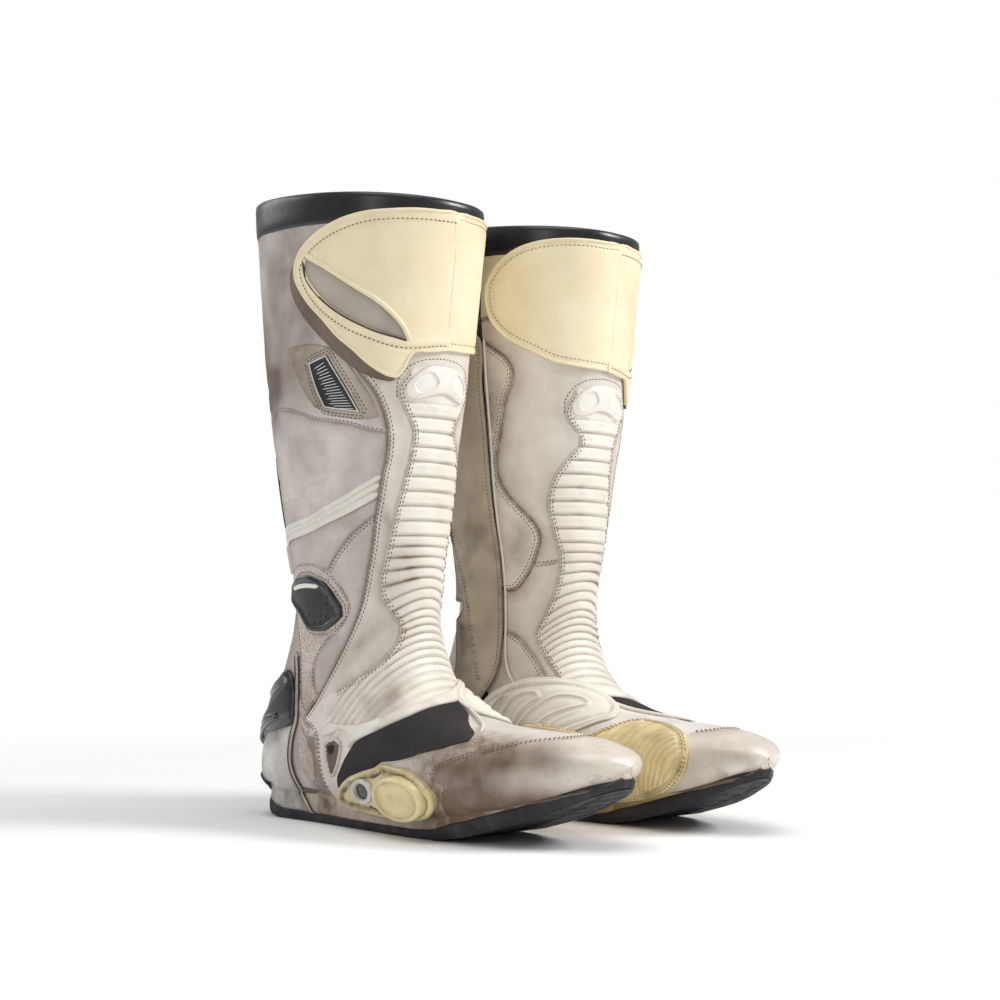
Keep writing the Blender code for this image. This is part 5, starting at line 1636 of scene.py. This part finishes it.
# ---------------------------------------------------------------- floor, light and camera
def floor():
    """A white floor, which glows further out so that its far edge never shows."""
    me = bpy.data.meshes.new("floor")
    n, half = 40, 4.0
    pts = [(x, y, -.0006) for y in np.linspace(-half, half, n) for x in np.linspace(-half, half, n)]
    me.from_pydata(pts, [], grid_quads(n, n)[:, TURNED].tolist())
    o = bpy.data.objects.new("floor", me)
    bpy.context.scene.collection.objects.link(o)
    k = Nodes("floor_paper")
    mat = k.set(color=k.mix(k.span(k.noise(3, 2), .3, .7), rgb(250, 250, 250), rgb(247, 247, 247)), rough=.9,
                spec=.1)
    far = k.add("ShaderNodeVectorMath", {0: k.co}, operation="LENGTH").outputs["Value"]
    glow = k.add("ShaderNodeEmission", {"Color": (1, 1, 1, 1)}).outputs[0]
    both = k.add("ShaderNodeMixShader", {0: k.span(far, .35, 1.1), 1: k.bsdf.outputs[0], 2: glow}).outputs[0]
    k.t.links.new(both, k.t.nodes["Material Output"].inputs["Surface"])
    me.materials.append(mat)


def area(name, place, target, size, power):
    data = bpy.data.lights.new(name, "AREA")
    data.shape, data.size, data.size_y, data.energy = "RECTANGLE", size[0], size[1], power
    o = bpy.data.objects.new(name, data)
    o.location = place
    o.rotation_euler = (Vector(target) - Vector(place)).to_track_quat("-Z", "Y").to_euler()
    bpy.context.scene.collection.objects.link(o)


def dome():
    """A white surround that only the camera sees."""
    me = bpy.data.meshes.new("surround")
    rings, n, r = 12, 48, 9.0
    pts = [(r * math.cos(e) * math.cos(a), r * math.cos(e) * math.sin(a), r * math.sin(e) - .2)
           for e in np.linspace(-.3, math.pi / 2 - .02, rings)
           for a in np.linspace(0, 2 * math.pi, n, endpoint=False)]
    me.from_pydata(pts, [], grid_quads(rings, n, columns_join=True)[:, TURNED].tolist())
    o = bpy.data.objects.new("surround", me)
    bpy.context.scene.collection.objects.link(o)
    mat = bpy.data.materials.new("surround_white")
    mat.use_nodes = True
    t = mat.node_tree
    t.nodes.clear()
    e = t.nodes.new("ShaderNodeEmission")
    e.inputs["Color"].default_value = (1, 1, 1, 1)
    t.links.new(e.outputs[0], t.nodes.new("ShaderNodeOutputMaterial").inputs["Surface"])
    me.materials.append(mat)
    o.visible_diffuse = o.visible_glossy = o.visible_shadow = o.visible_transmission = False


floor()
dome()
for light in (("key", (1.5, -1.9, 1.7), (0, 0, .2), (.9, .9), 58),
              ("top", (-.3, -.2, 2.4), (0, 0, .2), (1.6, 1.6), 24),
              ("left", (-2.2, -.7, 1.1), (0, 0, .25), (.8, 1.2), 5),
              ("back", (-.8, 2.2, 1.5), (0, 0, .2), (1.4, 1.2), 10)):
    area(*light)
world = bpy.data.worlds.new("studio")
world.use_nodes = True
sky = world.node_tree.nodes["Background"].inputs
sky["Color"].default_value, sky["Strength"].default_value = (1, 1, 1, 1), .33
scene = bpy.context.scene
scene.world = world
scene.view_settings.view_transform = "Standard"

AZ, REACH, HEIGHT, ACROSS = math.radians(-43.885), 1.2154, .1374, -.0102  # metres
SENSOR, LENS, RISE = 36.0, 60.552, 4.608  # millimetres; the horizon falls RISE below the sensor's middle
ahead = Vector((-math.sin(AZ), math.cos(AZ), 0))
right = Vector((math.cos(AZ), math.sin(AZ), 0))
up = Vector((0, 0, 1))
pitch = math.atan(RISE / LENS)
cam_data = bpy.data.cameras.new("camera")
cam_data.sensor_width, cam_data.lens = SENSOR, LENS
cam_data.clip_start, cam_data.clip_end = .05, 60
cam = bpy.data.objects.new("camera", cam_data)
cam.location = -ahead * REACH + right * ACROSS + up * HEIGHT
look = ahead * math.cos(pitch) + up * math.sin(pitch)
cam.rotation_mode = "QUATERNION"
cam.rotation_quaternion = look.to_track_quat("-Z", "Y")
scene.collection.objects.link(cam)
scene.camera = cam
